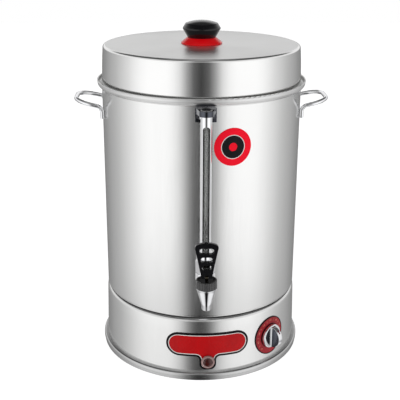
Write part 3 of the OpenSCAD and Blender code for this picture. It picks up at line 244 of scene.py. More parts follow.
sheetSteel = {"colour": (0.80, 0.80, 0.795), "shade": (0.76, 0.76, 0.755), "edgeColour": (0.9, 0.9, 0.9),
              "stretch": (1.0, 1.0, 0.03), "fineness": 1100.0, "tarnish": 0.5, "rough": 0.20,
              "roughSwing": 0.03, "smudge": 0.04, "smudgeSize": 0.09, "edgeWidth": 0.0003, "rubbedAndSheen": 0.5,
              "relief": 0.000004, "dust": 0.0, "dustColour": (0.55, 0.54, 0.52), "dustRough": 0.4}
lidSteel = dict(sheetSteel, stretch=(1.0, 1.0, 1.0), fineness=500.0, rough=0.10, roughSwing=0.02,
                buffedTop=0.22, relief=0.000002)
wallSteel = dict(sheetSteel, mattAbove=0.4178, mattOver=0.002, matt=0.20)
footSteel = dict(sheetSteel, colour=(0.55, 0.55, 0.55), shade=(0.50, 0.50, 0.50), rough=0.17)
# Darker copy of the sheet steel for the base skirt: painted shade for its dimmer reflections
skirtSteelShaded = dict(sheetSteel, colour=(0.73, 0.73, 0.725), shade=(0.69, 0.69, 0.685))
chromePlate = dict(sheetSteel, colour=(0.84, 0.845, 0.86), shade=(0.80, 0.80, 0.82),
                   stretch=(1.0, 1.0, 1.0), fineness=700.0, rough=0.06, roughSwing=0.02, smudge=0.06,
                   smudgeSize=0.02, edgeWidth=0.0004, relief=0.000001)
# Near-black copy of the chrome, on the gauge bracket and the knob grip's flanks: painted dark reflection
chromePaintedDarkReflection = dict(chromePlate, colour=(0.10, 0.105, 0.125), shade=(0.07, 0.075, 0.09))
# Dimmed copy of the chrome, on the gauge cap: painted dark reflection
chromePaintedDimReflection = dict(chromePlate, colour=(0.30, 0.30, 0.31), shade=(0.24, 0.24, 0.25), rough=0.09)
zincPlate = dict(sheetSteel, colour=(0.60, 0.61, 0.62), shade=(0.46, 0.47, 0.49), stretch=(1.0, 1.0, 1.0),
                 fineness=260.0, tarnish=1.0, rough=0.38, roughSwing=0.08, relief=0.00001, dust=0.2)
turnedBrass = dict(sheetSteel, colour=(0.78, 0.58, 0.27), shade=(0.60, 0.42, 0.18),
                   edgeColour=(0.95, 0.8, 0.5), stretch=(0.1, 0.1, 1.0), fineness=900.0, tarnish=0.9,
                   rough=0.25, roughSwing=0.06, relief=0.000006)
dullBrass = dict(turnedBrass, colour=(0.12, 0.10, 0.07), shade=(0.08, 0.07, 0.05),
                 edgeColour=(0.3, 0.26, 0.18), rough=0.4)
drawnCopper = dict(turnedBrass, colour=(0.86, 0.47, 0.31), shade=(0.55, 0.27, 0.17),
                   edgeColour=(0.98, 0.68, 0.5))
heaterSheath = dict(sheetSteel, colour=(0.36, 0.34, 0.33), shade=(0.20, 0.17, 0.16), stretch=(1.0, 1.0, 1.0),
                    fineness=400.0, tarnish=1.0, rough=0.42, roughSwing=0.1, relief=0.00002)
metals = {"sheetSteel": sheetSteel, "lidSteel": lidSteel, "wallSteel": wallSteel, "footSteel": footSteel,
          "skirtSteelShaded": skirtSteelShaded, "chromePaintedDimReflection": chromePaintedDimReflection, "chromePaintedDarkReflection": chromePaintedDarkReflection,
          "chromePlate": chromePlate, "zincPlate": zincPlate, "turnedBrass": turnedBrass,
          "drawnCopper": drawnCopper, "dullBrass": dullBrass, "heaterSheath": heaterSheath}


# Plastic, rubber and ceramic: a moulded skin, flow marks, paler worn edges (a painted highlight on the lamp
# bezel) and dust
def mouldedFinish(name, look):
    material, tree, skin = blankFinish(name)
    skinMarks = filled(tree, mouldedSkin, {"Pitch": look["pitch"], "Flow": look["flow"]})
    marks = filled(tree, smudges, {"Size": look["smudgeSize"]})["Smudge"]
    rubAndSheen = filled(tree, edgeWearAndSheen, {"Width": look["edgeWidth"]})
    dust = calc(tree, "MULTIPLY", filled(tree, settledDust, {})["Dust"], look["dust"])
    colour = blendColours(tree, skinMarks["Mottle"], look["colour"], look["shade"])
    if "ribs" in look:  # the ridges between the grooves are coloured paler: a painted highlight where the ribs catch the light
        coords = addNode(tree, "ShaderNodeTexCoord").outputs["Object"]
        moved = addNode(tree, "ShaderNodeVectorMath", {0: coords, 1: look["ribCentre"]}).outputs[0]
        across = axisParts(tree, moved)
        turn = calc(tree, "ARCTAN2", across["Y"], across["X"])
        wave = calc(tree, "COSINE", calc(tree, "MULTIPLY", turn, look["ribs"]))
        colour = blendColours(tree, spread(tree, wave, *look["ridgeHighlightEdges"]), colour, look["ridgeHighlight"])
    rubbedAndSheen = calc(tree, "MULTIPLY", rubAndSheen["Edge"], look["rubbedAndSheen"])
    colour = blendColours(tree, rubbedAndSheen, colour, look["edgeColour"])
    wire(tree, skin.inputs["Base Color"], blendColours(tree, dust, colour, look["dustColour"]))
    rough = calc(tree, "ADD", look["rough"], calc(tree, "MULTIPLY", marks, look["smudge"]))
    dusty = calc(tree, "MULTIPLY", dust, look["dustRough"])
    wire(tree, skin.inputs["Roughness"], calc(tree, "ADD", rough, dusty, clamp=True))
    bump = addNode(tree, "ShaderNodeBump", {"Height": skinMarks["Height"], "Normal": rubAndSheen["Normal"],
                                            "Distance": look["relief"], "Strength": 1.0})
    wire(tree, skin.inputs["Normal"], bump.outputs[0])
    skin.inputs["Specular IOR Level"].default_value = look["gloss"]
    return material


blackGloss = {"colour": (0.003, 0.003, 0.004), "shade": (0.005, 0.005, 0.006),
              "edgeColour": (0.05, 0.05, 0.05), "pitch": 0.0009, "flow": 0.03, "smudgeSize": 0.03,
              "edgeWidth": 0.0005, "rubbedAndSheen": 0.25, "rough": 0.09, "smudge": 0.08, "relief": 0.000003,
              "gloss": 0.45, "dust": 0.03, "dustColour": (0.45, 0.44, 0.42), "dustRough": 0.5}
blackNylon = dict(blackGloss, colour=(0.018, 0.018, 0.019), shade=(0.028, 0.028, 0.03),
                  edgeColour=(0.12, 0.12, 0.12), rough=0.38, relief=0.00002, rubbedAndSheen=0.5, gloss=0.5)
# The bonnet's ridges are lighter than its grooves: painted highlight on the ribs
ribbedNylon = dict(blackNylon, ribs=32, ribCentre=(0.0, 0.204, 0.0), ridgeHighlight=(0.075, 0.075, 0.075),
                   ridgeHighlightEdges=(0.3, -0.9), rough=0.24)
redGloss = dict(blackGloss, colour=(0.95, 0.003, 0.008), shade=(0.86, 0.003, 0.007),
                edgeColour=(0.95, 0.14, 0.12), rough=0.16, gloss=0.3, dust=0.0)
redEnamel = dict(redGloss, colour=(0.48, 0.001, 0.003), shade=(0.40, 0.001, 0.003), rough=0.26, gloss=0.15,
                 pitch=0.002, relief=0.000004)
dialRed = dict(redEnamel, colour=(0.36, 0.018, 0.026), shade=(0.26, 0.012, 0.018))
labelFilm = dict(redEnamel, colour=(0.93, 0.001, 0.020), shade=(0.86, 0.001, 0.018), rough=0.35, gloss=0.12)
whiteInk = dict(redEnamel, colour=(0.80, 0.78, 0.76), shade=(0.72, 0.70, 0.68), edgeColour=(0.85, 0.85, 0.85))
blackInk = dict(redEnamel, colour=(0.004, 0.004, 0.005), shade=(0.007, 0.007, 0.008),
                edgeColour=(0.03, 0.03, 0.03), gloss=0.1)
# Dark maroon: the dial's printed border, and a painted shadow round the knob
darkEdgeAndShadow = dict(blackInk, colour=(0.024, 0.005, 0.006), shade=(0.018, 0.004, 0.005))
maroonInk = dict(blackInk, colour=(0.16, 0.012, 0.03), shade=(0.11, 0.008, 0.02))
orangeInk = dict(redEnamel, colour=(0.76, 0.26, 0.18), shade=(0.66, 0.20, 0.13), edgeColour=(0.7, 0.3, 0.2))
# Lamp bezel, dark red-brown, with a near-white edge colour that is a painted highlight round its rim
bezelRimHighlight = dict(blackGloss, colour=(0.34, 0.22, 0.21), shade=(0.26, 0.16, 0.15),
                 edgeColour=(0.95, 0.90, 0.90), rough=0.15, rubbedAndSheen=0.95, edgeWidth=0.0006)
blackRubber = dict(blackGloss, colour=(0.022, 0.022, 0.022), shade=(0.034, 0.034, 0.034), rough=0.62,
                   relief=0.00003, gloss=0.5)
greySilicone = dict(blackRubber, colour=(0.42, 0.41, 0.39), shade=(0.34, 0.33, 0.31),
                    edgeColour=(0.55, 0.54, 0.52))
ivoryCeramic = dict(blackRubber, colour=(0.72, 0.68, 0.57), shade=(0.62, 0.58, 0.47),
                    edgeColour=(0.85, 0.82, 0.72), rough=0.5)
mouldings = {"blackGloss": blackGloss, "blackNylon": blackNylon, "ribbedNylon": ribbedNylon,
             "redGloss": redGloss, "redEnamel": redEnamel, "dialRed": dialRed, "labelFilm": labelFilm,
             "whiteInk": whiteInk, "blackInk": blackInk, "darkEdgeAndShadow": darkEdgeAndShadow, "maroonInk": maroonInk,
             "orangeInk": orangeInk, "bezelRimHighlight": bezelRimHighlight, "blackRubber": blackRubber,
             "greySilicone": greySilicone, "ivoryCeramic": ivoryCeramic}


# Glass: clear, with water stains that are a little darker and rougher
def glassFinish(name, look):
    material, tree, skin = blankFinish(name)
    marks = filled(tree, smudges, {"Size": look["stainSize"]})["Smudge"]
    stained = calc(tree, "MULTIPLY", marks, look["stained"])
    wire(tree, skin.inputs["Base Color"], blendColours(tree, stained, look["colour"], look["stain"]))
    rougher = calc(tree, "MULTIPLY", marks, look["stainRough"])
    wire(tree, skin.inputs["Roughness"], calc(tree, "ADD", look["rough"], rougher))
    skin.inputs["Transmission Weight"].default_value = look["clear"]
    skin.inputs["IOR"].default_value = look["bend"]
    return material


# The sight glass is tinted grey: painted shade for the shadowed guard behind it. Its stains are darker still
sightGlass = {"colour": (0.70, 0.71, 0.70), "stain": (0.60, 0.60, 0.59), "stainSize": 0.05, "stained": 0.6,
              "stainRough": 0.15, "rough": 0.03, "clear": 0.92, "bend": 1.47}
lampGlass = dict(sightGlass, colour=(0.075, 0.010, 0.008), stain=(0.05, 0.006, 0.005), stainSize=0.004,
                 rough=0.10, clear=0.35, bend=1.5)
glasses = {"sightGlass": sightGlass, "lampGlass": lampGlass}

finishes = {}
for makeFinish, looks in ((metalFinish, metals), (glassFinish, glasses), (mouldedFinish, mouldings)):
    for name, look in looks.items():
        finishes[name] = makeFinish(name, look)
print("finishes:", len(finishes))

finishOf = {
    "wallSteel": ["tank_wall"], "sheetSteel": ["tank_floor"], "skirtSteelShaded": ["base_skirt"],
    "footSteel": ["foot_ring"], "lidSteel": ["lid_shell"],
    # The gauge bracket and cap wear darkened chrome: painted dark reflection
    "chromePaintedDarkReflection": ["gauge_bracket"], "chromePaintedDimReflection": ["gauge_cap"],
    "chromePlate": ["left_handle", "right_handle", "bracket_bolts", "guard_tube",
                    "gland_nut", "tap_body", "lever_pin", "thermostat_knob"],
    "zincPlate": ["bottom_cover", "cover_tabs", "cover_screws", "seam_bolts", "seam_nuts", "knob_screw",
                  "thermostat_screws", "thermostat_shaft", "bulb_clips", "valve_spring"],
    "turnedBrass": ["tap_backnut", "heater_nuts", "earth_stud"], "dullBrass": ["valve_stem"],
    "drawnCopper": ["sensor_bulb"], "heaterSheath": ["heating_element"],
    "blackGloss": ["lid_knob", "tap_lever"], "ribbedNylon": ["tap_bonnet"],
    "blackNylon": ["cord_gland", "gland_locknut"],
    "redGloss": ["knob_collar"], "redEnamel": ["nameplate"], "dialRed": ["thermostat_dial"],
    "labelFilm": ["round_label"], "bezelRimHighlight": ["lamp_bezel"], "lampGlass": ["lamp_lens"],
    "blackRubber": ["gauge_seals", "tap_gaskets"], "greySilicone": ["valve_seal", "heater_gaskets"],
    "ivoryCeramic": ["thermostat_body", "safety_cutout", "lamp_body", "terminal_block"],
    "sightGlass": ["gauge_glass"]}
turnLook = {"join": 0.000002, "sharpAbove": 24}


# Rolled and turned faces run smoothly into each other, and corners stay sharp
def makeSoftTurns():
    tree = bpy.data.node_groups.new("softTurns", "GeometryNodeTree")
    tree.interface.new_socket("Geometry", in_out="INPUT", socket_type="NodeSocketGeometry")
    tree.interface.new_socket("Geometry", in_out="OUTPUT", socket_type="NodeSocketGeometry")
    given, out = tree.nodes.new("NodeGroupInput"), tree.nodes.new("NodeGroupOutput")
    joined = addNode(tree, "GeometryNodeMergeByDistance",
                     {"Geometry": given.outputs[0], "Distance": turnLook["join"]})
    angle = addNode(tree, "GeometryNodeInputMeshEdgeAngle").outputs["Unsigned Angle"]
    limit = math.radians(turnLook["sharpAbove"])
    sharp = addNode(tree, "FunctionNodeCompare", {0: angle, 1: limit}, operation="GREATER_THAN").outputs[0]
    normals = addNode(tree, "GeometryNodeSetMeshNormal", {"Mesh": joined.outputs[0], "Edge Sharpness": sharp},
                      mode="SHARPNESS")
    wire(tree, out.inputs[0], normals.outputs[0])
    return tree


softTurns = makeSoftTurns()


def dress(piece, finish, turnsSoft=True):
    piece.data.materials.clear()
    piece.data.materials.append(finishes[finish])
    if turnsSoft:
        piece.modifiers.new("softTurns", "NODES").node_group = softTurns


for finish, names in finishOf.items():
    for name in names:
        dress(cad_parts[name], finish)
left = set(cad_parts) - {name for names in finishOf.values() for name in names}
print("dressed nodes, left over:", sorted(left))


# Printed and inlaid pieces: thin layers that follow the skirt and the tank, in millimetres and degrees

millimetre = 0.001
skirtShape = {"footRadius": 153.2, "flare": 2.2, "topHeight": 92.0, "plate": 0.9}
tankShape = {"radius": 150.0, "label": 0.4}
printLift = 0.18


# A point across and out from the axis, for a piece that faces an angle round the urn
def outwards(turn, across, depth, z):
    a = math.radians(turn)
    x, y = across * math.cos(a) + depth * math.sin(a), across * math.sin(a) - depth * math.cos(a)
    return Vector((x, y, z)) * millimetre


def onSkirt(turn, height):
    def point(u, v, lift):
        radius = skirtShape["footRadius"] - skirtShape["flare"] * (height + v) / skirtShape["topHeight"]
        radius += skirtShape["plate"] + lift
        return outwards(turn, u, math.sqrt(radius * radius - u * u), height + v)
    return point


def onTank(turn, height):
    def point(u, v, lift):
        radius = tankShape["radius"] + tankShape["label"] + lift
        return outwards(turn, u, math.sqrt(radius * radius - u * u), height + v)
    return point


def circle(radius, count=96):
    turns = [math.tau * i / count for i in range(count)]
    return [(radius * math.cos(a), radius * math.sin(a)) for a in turns]


def arcPoints(x, y, radius, start, end, count):
    angles = [math.radians(start + (end - start) * i / count) for i in range(count + 1)]
    return [(x + radius * math.cos(a), y + radius * math.sin(a)) for a in angles]


def newPiece(name, points, faces, finish, body, turnsSoft=False):
    mesh = bpy.data.meshes.new(name)
    mesh.from_pydata([tuple(p) for p in points], [], faces)
    mesh.update()
    piece = bpy.data.objects.new(name, mesh)
    scene.collection.objects.link(piece)
    dress(piece, finish, turnsSoft)
    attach(piece, body)
    return piece


# Closed loops from the outside in, laid on a surface. Both edges run down to it, and the outer one goes
# deeper by the apron.
def layPrint(name, loops, point, finish, body="root", lift=printLift, apron=0.0):
    count = len(loops[0])
    rows = [[point(u, v, -apron) for u, v in loops[0]]]
    rows += [[point(u, v, lift) for u, v in loop] for loop in loops]
    if len(loops[-1]) > 1:
        rows.append([point(u, v, 0) for u, v in loops[-1]])
    points = [p for row in rows for p in row]
    faces = []
    for i in range(len(rows) - 1):
        for j in range(count):
            k = (j + 1) % count
            if len(rows[i + 1]) == 1:
                faces.append((i * count + j, i * count + k, (i + 1) * count))
            else:
                faces.append((i * count + j, i * count + k, (i + 1) * count + k, (i + 1) * count + j))
    return newPiece(name, points, faces, finish, body)


namePlate = {"turn": 2.0, "height": 56.2, "width": 123.4, "band": 37.4, "tabWidth": 25.0, "tabDrop": 40.4,
             "tabFillet": 6.0, "tabCorner": 9.0, "border": 3.0, "keyline": 1.05, "overhang": 0.05,
             "apron": 0.85, "cornerSteps": 10, "filletSteps": 8, "edgeSteps": 24}


def plateOutline(inset):
    shape = namePlate
    half, r = (shape["width"] - shape["band"]) / 2, shape["band"] / 2
    side, fillet, corner = shape["tabWidth"] / 2, shape["tabFillet"], shape["tabCorner"]
    low, steps, edgeSteps = shape["tabDrop"], shape["cornerSteps"], shape["edgeSteps"]
    run = [(side + fillet + (half - side - fillet) * i / steps, inset - r) for i in range(1, steps)]
    right = (arcPoints(side - corner, corner - low, corner - inset, -90, 0, steps)
             + arcPoints(side + fillet, -r - fillet, fillet + inset, 180, 90, shape["filletSteps"])
             + run + arcPoints(half, 0, r - inset, -90, 90, edgeSteps))
    top = [(half - 2 * half * i / edgeSteps, r - inset) for i in range(1, edgeSteps)]  # bends round the skirt
    return right + top + [(-x, y) for x, y in reversed(right)]


def makePlatePrint():
    onPlate = onSkirt(namePlate["turn"], namePlate["height"])
    edge, line = namePlate["border"], namePlate["border"] + namePlate["keyline"]
    border = [plateOutline(inset) for inset in (-namePlate["overhang"], edge / 2, edge)]
    layPrint("plateBorder", border, onPlate, "blackInk", apron=namePlate["apron"])
    layPrint("plateKeyline", [plateOutline(edge), plateOutline(line)], onPlate, "whiteInk")


makePlatePrint()

dialFace = {"turn": 42.4, "height": 50.0, "radius": 30.5, "edge": 1.5, "overhang": 0.05, "apron": 0.8,
            "centre": 19.4, "centreSteps": (0, 5, 11), "figures": 25.0, "figureHeight": 3.1,
            "figureScale": 1.35, "marks": (23.4, 26.6), "markWidth": 0.5, "first": 30, "last": 110,
            "step": 10, "sweep": 270.0, "start": -135.0}
onDial = onSkirt(dialFace["turn"], dialFace["height"])


def dialMark(name, angle, inner, outer, width):
    a = math.radians(angle)
    across, along = (math.cos(a), -math.sin(a)), (math.sin(a), math.cos(a))
    corners = [(s * width / 2, r) for s, r in ((-1, inner), (1, inner), (1, outer), (-1, outer))]
    loop = [(across[0] * x + along[0] * y, across[1] * x + along[1] * y) for x, y in corners]
    middle = (along[0] * (inner + outer) / 2, along[1] * (inner + outer) / 2)
    layPrint(name, [loop, [middle]], onDial, "orangeInk")


def dialFigure(text, angle):
    curve = bpy.data.curves.new("figure", "FONT")
    curve.body, curve.size = text, dialFace["figureHeight"] * dialFace["figureScale"]
    curve.align_x, curve.align_y = "CENTER", "CENTER"
    holder = bpy.data.objects.new("figure", curve)
    scene.collection.objects.link(holder)
    bpy.context.view_layer.update()
    mesh = bpy.data.meshes.new_from_object(holder.evaluated_get(bpy.context.evaluated_depsgraph_get()))
    a = math.radians(angle)
    points = []
    for vertex in mesh.vertices:
        x, y = vertex.co.x, vertex.co.y + dialFace["figures"]
        points.append(onDial(x * math.cos(a) + y * math.sin(a), y * math.cos(a) - x * math.sin(a), printLift))
    faces = [tuple(polygon.vertices) for polygon in mesh.polygons]
    bpy.data.objects.remove(holder)
    newPiece("dialFigure." + text, points, faces, "orangeInk", "root")


def makeDialPrint():
    look = dialFace
    rim = [circle(look["radius"] + look["overhang"]), circle(look["radius"] - look["edge"])]
    layPrint("dialEdge", rim, onDial, "darkEdgeAndShadow", apron=look["apron"])
    # The dial's middle round the knob is laid dark: painted contact shadow of the knob
    centre = [circle(look["centre"] - step) for step in look["centreSteps"]]
    layPrint("dialCentreShadow", centre, onDial, "darkEdgeAndShadow")
    count = (look["last"] - look["first"]) // look["step"]
    for i in range(count + 1):
        angle = look["start"] + look["sweep"] * i / count
        dialFigure(str(look["first"] + look["step"] * i), angle)
        if i < count:
            dialMark("dialMark.%d" % i, angle + look["sweep"] / count / 2, *look["marks"], look["markWidth"])


makeDialPrint()

# Thermostat knob: a turned skirt and a half-moon grip across it, with a dark mark along the crest
turnKnob = {"base": 153.77, "radius": 18.6, "skirt": 4.5, "round": 1.6, "rise": 16.5, "crown": 16.5,
            "grip": 8.5, "draft": 0.5, "fillet": 2.0, "softEdge": 0.9, "filletShare": 0.6, "edgeShare": 0.3,
            "sunk": 0.5, "cornerSteps": 6, "crestSteps": 5, "sides": (7, 20), "ends": 2, "plainEnds": 4,
            "stations": 48, "count": 96}
knobMark = {"from": 8.8, "to": 13.4, "width": 2.4, "lift": 0.15, "steps": 8}


def onKnob(u, v, depth):
    return outwards(dialFace["turn"], u, turnKnob["base"] + depth, dialFace["height"] + v)


# Half of the grip's section, from inside the skirt up its side to the middle of the crest
def gripSection(height):
    look = turnKnob
    half, sunk = look["grip"] / 2, look["sunk"]
    fillet = min(look["fillet"], look["filletShare"] * height)  # smaller at the low ends
    edge = min(look["softEdge"], look["edgeShare"] * height)
    top = half - look["draft"]
    return ([(half + fillet, -sunk)] + arcPoints(half + fillet, fillet, fillet, 270, 180, look["cornerSteps"])
            + arcPoints(top - edge, height - edge, edge, 0, 90, look["crestSteps"]) + [(0, height)])


def makeTurnKnob():
    look, count, stations = turnKnob, turnKnob["count"], turnKnob["stations"]
    corner = arcPoints(look["radius"] - look["round"], look["skirt"] - look["round"], look["round"], 0, 90,
                       look["cornerSteps"])
    rim = [(0, 0), (look["radius"], 0)] + corner + [(0, look["skirt"])]
    points, n = [], len(rim)
    for i in range(count):
        a = math.tau * i / count
        points += [onKnob(r * math.cos(a), r * math.sin(a), depth) for r, depth in rim]
    faces = [(i * n + j, (i + 1) % count * n + j, (i + 1) % count * n + j + 1, i * n + j + 1)
             for i in range(count) for j in range(n - 1)]
    first, darkReflectionFaces = len(points), []
    for i in range(stations + 1):
        a = math.radians(look["ends"] + (180 - 2 * look["ends"]) * i / stations)
        section = gripSection(look["rise"] * math.sin(a))
        section += [(-x, y) for x, y in reversed(section[:-1])]
        points += [onKnob(x, -look["crown"] * math.cos(a), look["skirt"] + y) for x, y in section]
    n = len(section)
    for i in range(stations):
        for j in range(n):
            here, there, k = first + i * n, first + (i + 1) * n, (j + 1) % n
            # The grip's flanks are marked for the darkened chrome: painted dark reflection
            if j in look["sides"] and look["plainEnds"] <= i < stations - look["plainEnds"]:
                darkReflectionFaces.append(len(faces))
            faces.append((here + j, there + j, there + k, here + k))
    faces += [tuple(first + j for j in range(n)), tuple(first + stations * n + j for j in reversed(range(n)))]
    knob = newPiece("turnKnob", points, faces, "chromePlate", "thermostat", turnsSoft=True)
    # Second slot, darkened chrome on the grip's flanks: painted dark reflection
    knob.data.materials.append(finishes["chromePaintedDarkReflection"])
    for i in darkReflectionFaces:
        knob.data.polygons[i].material_index = 1
    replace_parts(knob, "thermostat_knob")


def onGrip(u, v, lift):
    crest = math.sqrt(max(0.0, 1 - (v / turnKnob["crown"]) ** 2))
    return onKnob(u, v, turnKnob["skirt"] + turnKnob["rise"] * crest + lift)


def makeKnobMark():
    side, low, high, steps = knobMark["width"] / 2, knobMark["from"], knobMark["to"], knobMark["steps"]
    upwards = [low + (high - low) * i / steps for i in range(steps + 1)]
    outline, middle = [[(x, v) for v in upwards] + [(-x, v) for v in reversed(upwards)] for x in (side, 0)]
    layPrint("knobMark", [outline, middle], onGrip, "maroonInk", "thermostat",
             lift=knobMark["lift"])


makeTurnKnob()
makeKnobMark()
print("knob made")


# Handles: a round rod, its tails flat on the wall, bent out and across
handleShape = {"rod": 3.3, "halfWidth": 39.0, "root": 391.9, "tail": 17.0, "out": 188.4, "rise": 9.2,
               "clear": 0.03, "tailBend": 10.0, "gripBend": 27.0}


def bentPath(corners, bends, steps=12):
    path = [corners[0]]
    for before, corner, after, radius in zip(corners, corners[1:], corners[2:], bends):
        u, v = (corner - before).normalized(), (after - corner).normalized()
        turn = u.angle(v)
        start, middle = corner - u * radius * math.tan(turn / 2), (v - u).normalized()
        centre = corner + middle * radius / math.cos(turn / 2)
        axis = u.cross(v).normalized()
        arm = start - centre
        path += [centre + Matrix.Rotation(turn * i / steps, 3, axis) @ arm for i in range(steps + 1)]
    return path + [corners[-1]]


def makeRod(name, path, radius, finish, body="root", count=20):
    points = []
    around = [(math.cos(math.tau * k / count), math.sin(math.tau * k / count)) for k in range(count)]
    way = (path[1] - path[0]).normalized()
    across = Vector((0, 1, 0)).cross(way).normalized()
    chamfer, last = radius / 6, len(path) - 1
    for i, p in enumerate(path):
        nextWay = (path[min(i + 1, last)] - path[max(i - 1, 0)]).normalized()
        across = way.rotation_difference(nextWay) @ across
        way = nextWay
        other = way.cross(across)
        rings = [(radius, 0)]
        if i == 0:
            rings = [(radius - chamfer, 0), (radius, chamfer)]
        elif i == last:
            rings = [(radius, -chamfer), (radius - chamfer, 0)]
        for size, shift in rings:
            points += [(p + way * shift + (across * c + other * s) * size) * millimetre for c, s in around]
    rows = len(points) // count
    faces = []
    for i in range(rows - 1):
        here, there = i * count, (i + 1) * count
        faces += [(here + k, here + (k + 1) % count, there + (k + 1) % count, there + k)
                  for k in range(count)]
    faces += [tuple(reversed(range(count))), tuple(range((rows - 1) * count, rows * count))]
    return newPiece(name, points, faces, finish, body, turnsSoft=True)


def makeHandle(name, node, side):
    shape = handleShape
    reach = tankShape["radius"] + shape["clear"] + shape["rod"]
    root, y, z = side * math.sqrt(reach ** 2 - shape["halfWidth"] ** 2), shape["halfWidth"], shape["root"]
    out, low, high = side * shape["out"], z - shape["tail"], z + shape["rise"]
    corners = [Vector(c) for c in ((root, -y, low), (root, -y, z), (out, -y, high),
                                   (out, y, high), (root, y, z), (root, y, low))]
    bends = (shape["tailBend"], shape["gripBend"], shape["gripBend"], shape["tailBend"])
    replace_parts(makeRod(name, bentPath(corners, bends), shape["rod"], "chromePlate"), node)


makeHandle("leftHandle", "left_handle", -1)
makeHandle("rightHandle", "right_handle", 1)
print("handles bent")

# Round label: a white line and a black ring on the red film
roundLabel = {"turn": 14.7, "height": 359.6, "ring": 17.2, "line": 1.0, "eye": 6.0,
              "ringSteps": (14.5, 12.5, 10.5, 8.5)}


def makeLabelPrint():
    onLabel = onTank(roundLabel["turn"], roundLabel["height"])
    outer, inner = roundLabel["ring"], roundLabel["ring"] - roundLabel["line"]
    layPrint("labelLine", [circle(outer), circle(inner)], onLabel, "whiteInk")
    ring = [circle(radius) for radius in (inner, *roundLabel["ringSteps"], roundLabel["eye"])]
    layPrint("labelRing", ring, onLabel, "blackInk")


makeLabelPrint()
print("printed pieces laid")


# Pieces turned about the urn's axis, from a closed outline of radius and height
def turnPiece(name, outline, finish, body="root", count=192):
    turns = [math.tau * i / count for i in range(count)]
    points = [Vector((r * math.cos(a), r * math.sin(a), z)) * millimetre for a in turns for r, z in outline]
    n = len(outline)
    faces = [(i * n + j, (i + 1) % count * n + j, (i + 1) % count * n + (j + 1) % n, i * n + (j + 1) % n)
             for i in range(count) for j in range(n)]
    return newPiece(name, points, faces, finish, body, turnsSoft=True)


# A ring of black rubber in the crease between tank and base: painted shade that darkens the seam line
seamShadeRing = [(146.4, 98.65), (147.5, 98.1), (148.0, 97.9), (148.3, 98.4), (148.2, 99.3), (147.7, 99.7),
            (146.6, 99.25)]
turnPiece("seamShadeRing", seamShadeRing, "blackRubber")
print("seam shade ring laid")

# Valve spring: a coil between the stem's flange and the bonnet, which shortens as the stem lifts
springCoil = {"across": 0.0, "along": -204.0, "mean": 3.9, "wire": 0.5, "turns": 5, "lift": 2.8, "steps": 24,
              "sides": 10}


def makeValveSpring():
    look = springCoil
    low, high = [corner[2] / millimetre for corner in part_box("valve_spring")]
    height, steps = high - low, look["steps"] * look["turns"]
    path = []
    for i in range(steps + 1):
        a = math.tau * look["turns"] * i / steps
        x, y = look["across"] + look["mean"] * math.cos(a), look["along"] + look["mean"] * math.sin(a)
        path.append(Vector((x, y, low + look["wire"] + (height - 2 * look["wire"]) * i / steps)))
    spring = makeRod("valveSpring", path, look["wire"], "zincPlate", "tap_stem", look["sides"])
    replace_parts(spring, "valve_spring")
    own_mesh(spring)


makeValveSpring()
print("spring wound")


# Camera, light and floor

view = {"place": (-0.0520, -1.2414, 0.6657), "down": 19.25, "right": 2.339, "roll": 0.005, "lens": 74.37,
        "sensor": 36.0, "farthest": 60.0}


def makeCamera():
    lens = bpy.data.cameras.new("view")
    lens.lens, lens.sensor_width, lens.clip_end = view["lens"], view["sensor"], view["farthest"]
    camera = bpy.data.objects.new("view", lens)
    aside = Matrix.Rotation(math.radians(-view["right"]), 4, "Z")
    camera.matrix_world = (Matrix.Translation(view["place"]) @ aside
                           @ Matrix.Rotation(math.radians(90 - view["down"]), 4, "X")
                           @ Matrix.Rotation(view["roll"], 4, "Z"))
    scene.collection.objects.link(camera)
    scene.camera = camera


makeCamera()

# A round studio: a dark gap behind the camera, wide white screens beside it, a bright band above them and a
# dark roof, lighter at the zenith. Lists give degrees round from the gap and light, starts give heights.
studio = {"facing": 2.4, "brightest": 1.3, "roof": 0.11, "zenith": 0.42, "zenithStarts": (0.90, 0.975),
          "lowScreens": 0.60, "bandStarts": (0.0, 0.11), "roofFront": (0.56, 0.78), "roofBack": (0.34, 0.58),
          "roofTurns": (0.4, 0.7), "screensDim": (-0.44, -0.56), "groundStarts": (-0.62, -0.76),
          "screens": [(0, 0.056), (8.7, 0.14), (16, 0.43), (23.6, 0.90), (31.3, 1.14), (39, 1.24), (47, 1.25),
                      (63, 1.25), (72, 1.18), (81, 1.05), (90.5, 0.88), (101, 0.74), (113, 0.585),
                      (127, 0.48), (144, 0.34), (173, 0.2)],
          "band": [(0, 0.34), (8, 0.42), (15, 0.78), (22, 0.92), (32, 0.94), (60, 0.97), (120, 0.96),
                   (180, 0.95)],
          "ground": [(0, 0.0), (20, 0.03), (34, 0.85), (60, 1.0), (180, 0.95)]}


def makeRamp(tree, value, stops):
    ramp = addNode(tree, "ShaderNodeValToRGB", {0: value})
    for i, (angle, light) in enumerate(stops):
        stop = ramp.color_ramp.elements[i] if i < 2 else ramp.color_ramp.elements.new(angle / 180)
        stop.position = angle / 180
        level = light / studio["brightest"]
        stop.color = (level, level, level, 1)
    return ramp.outputs[0]


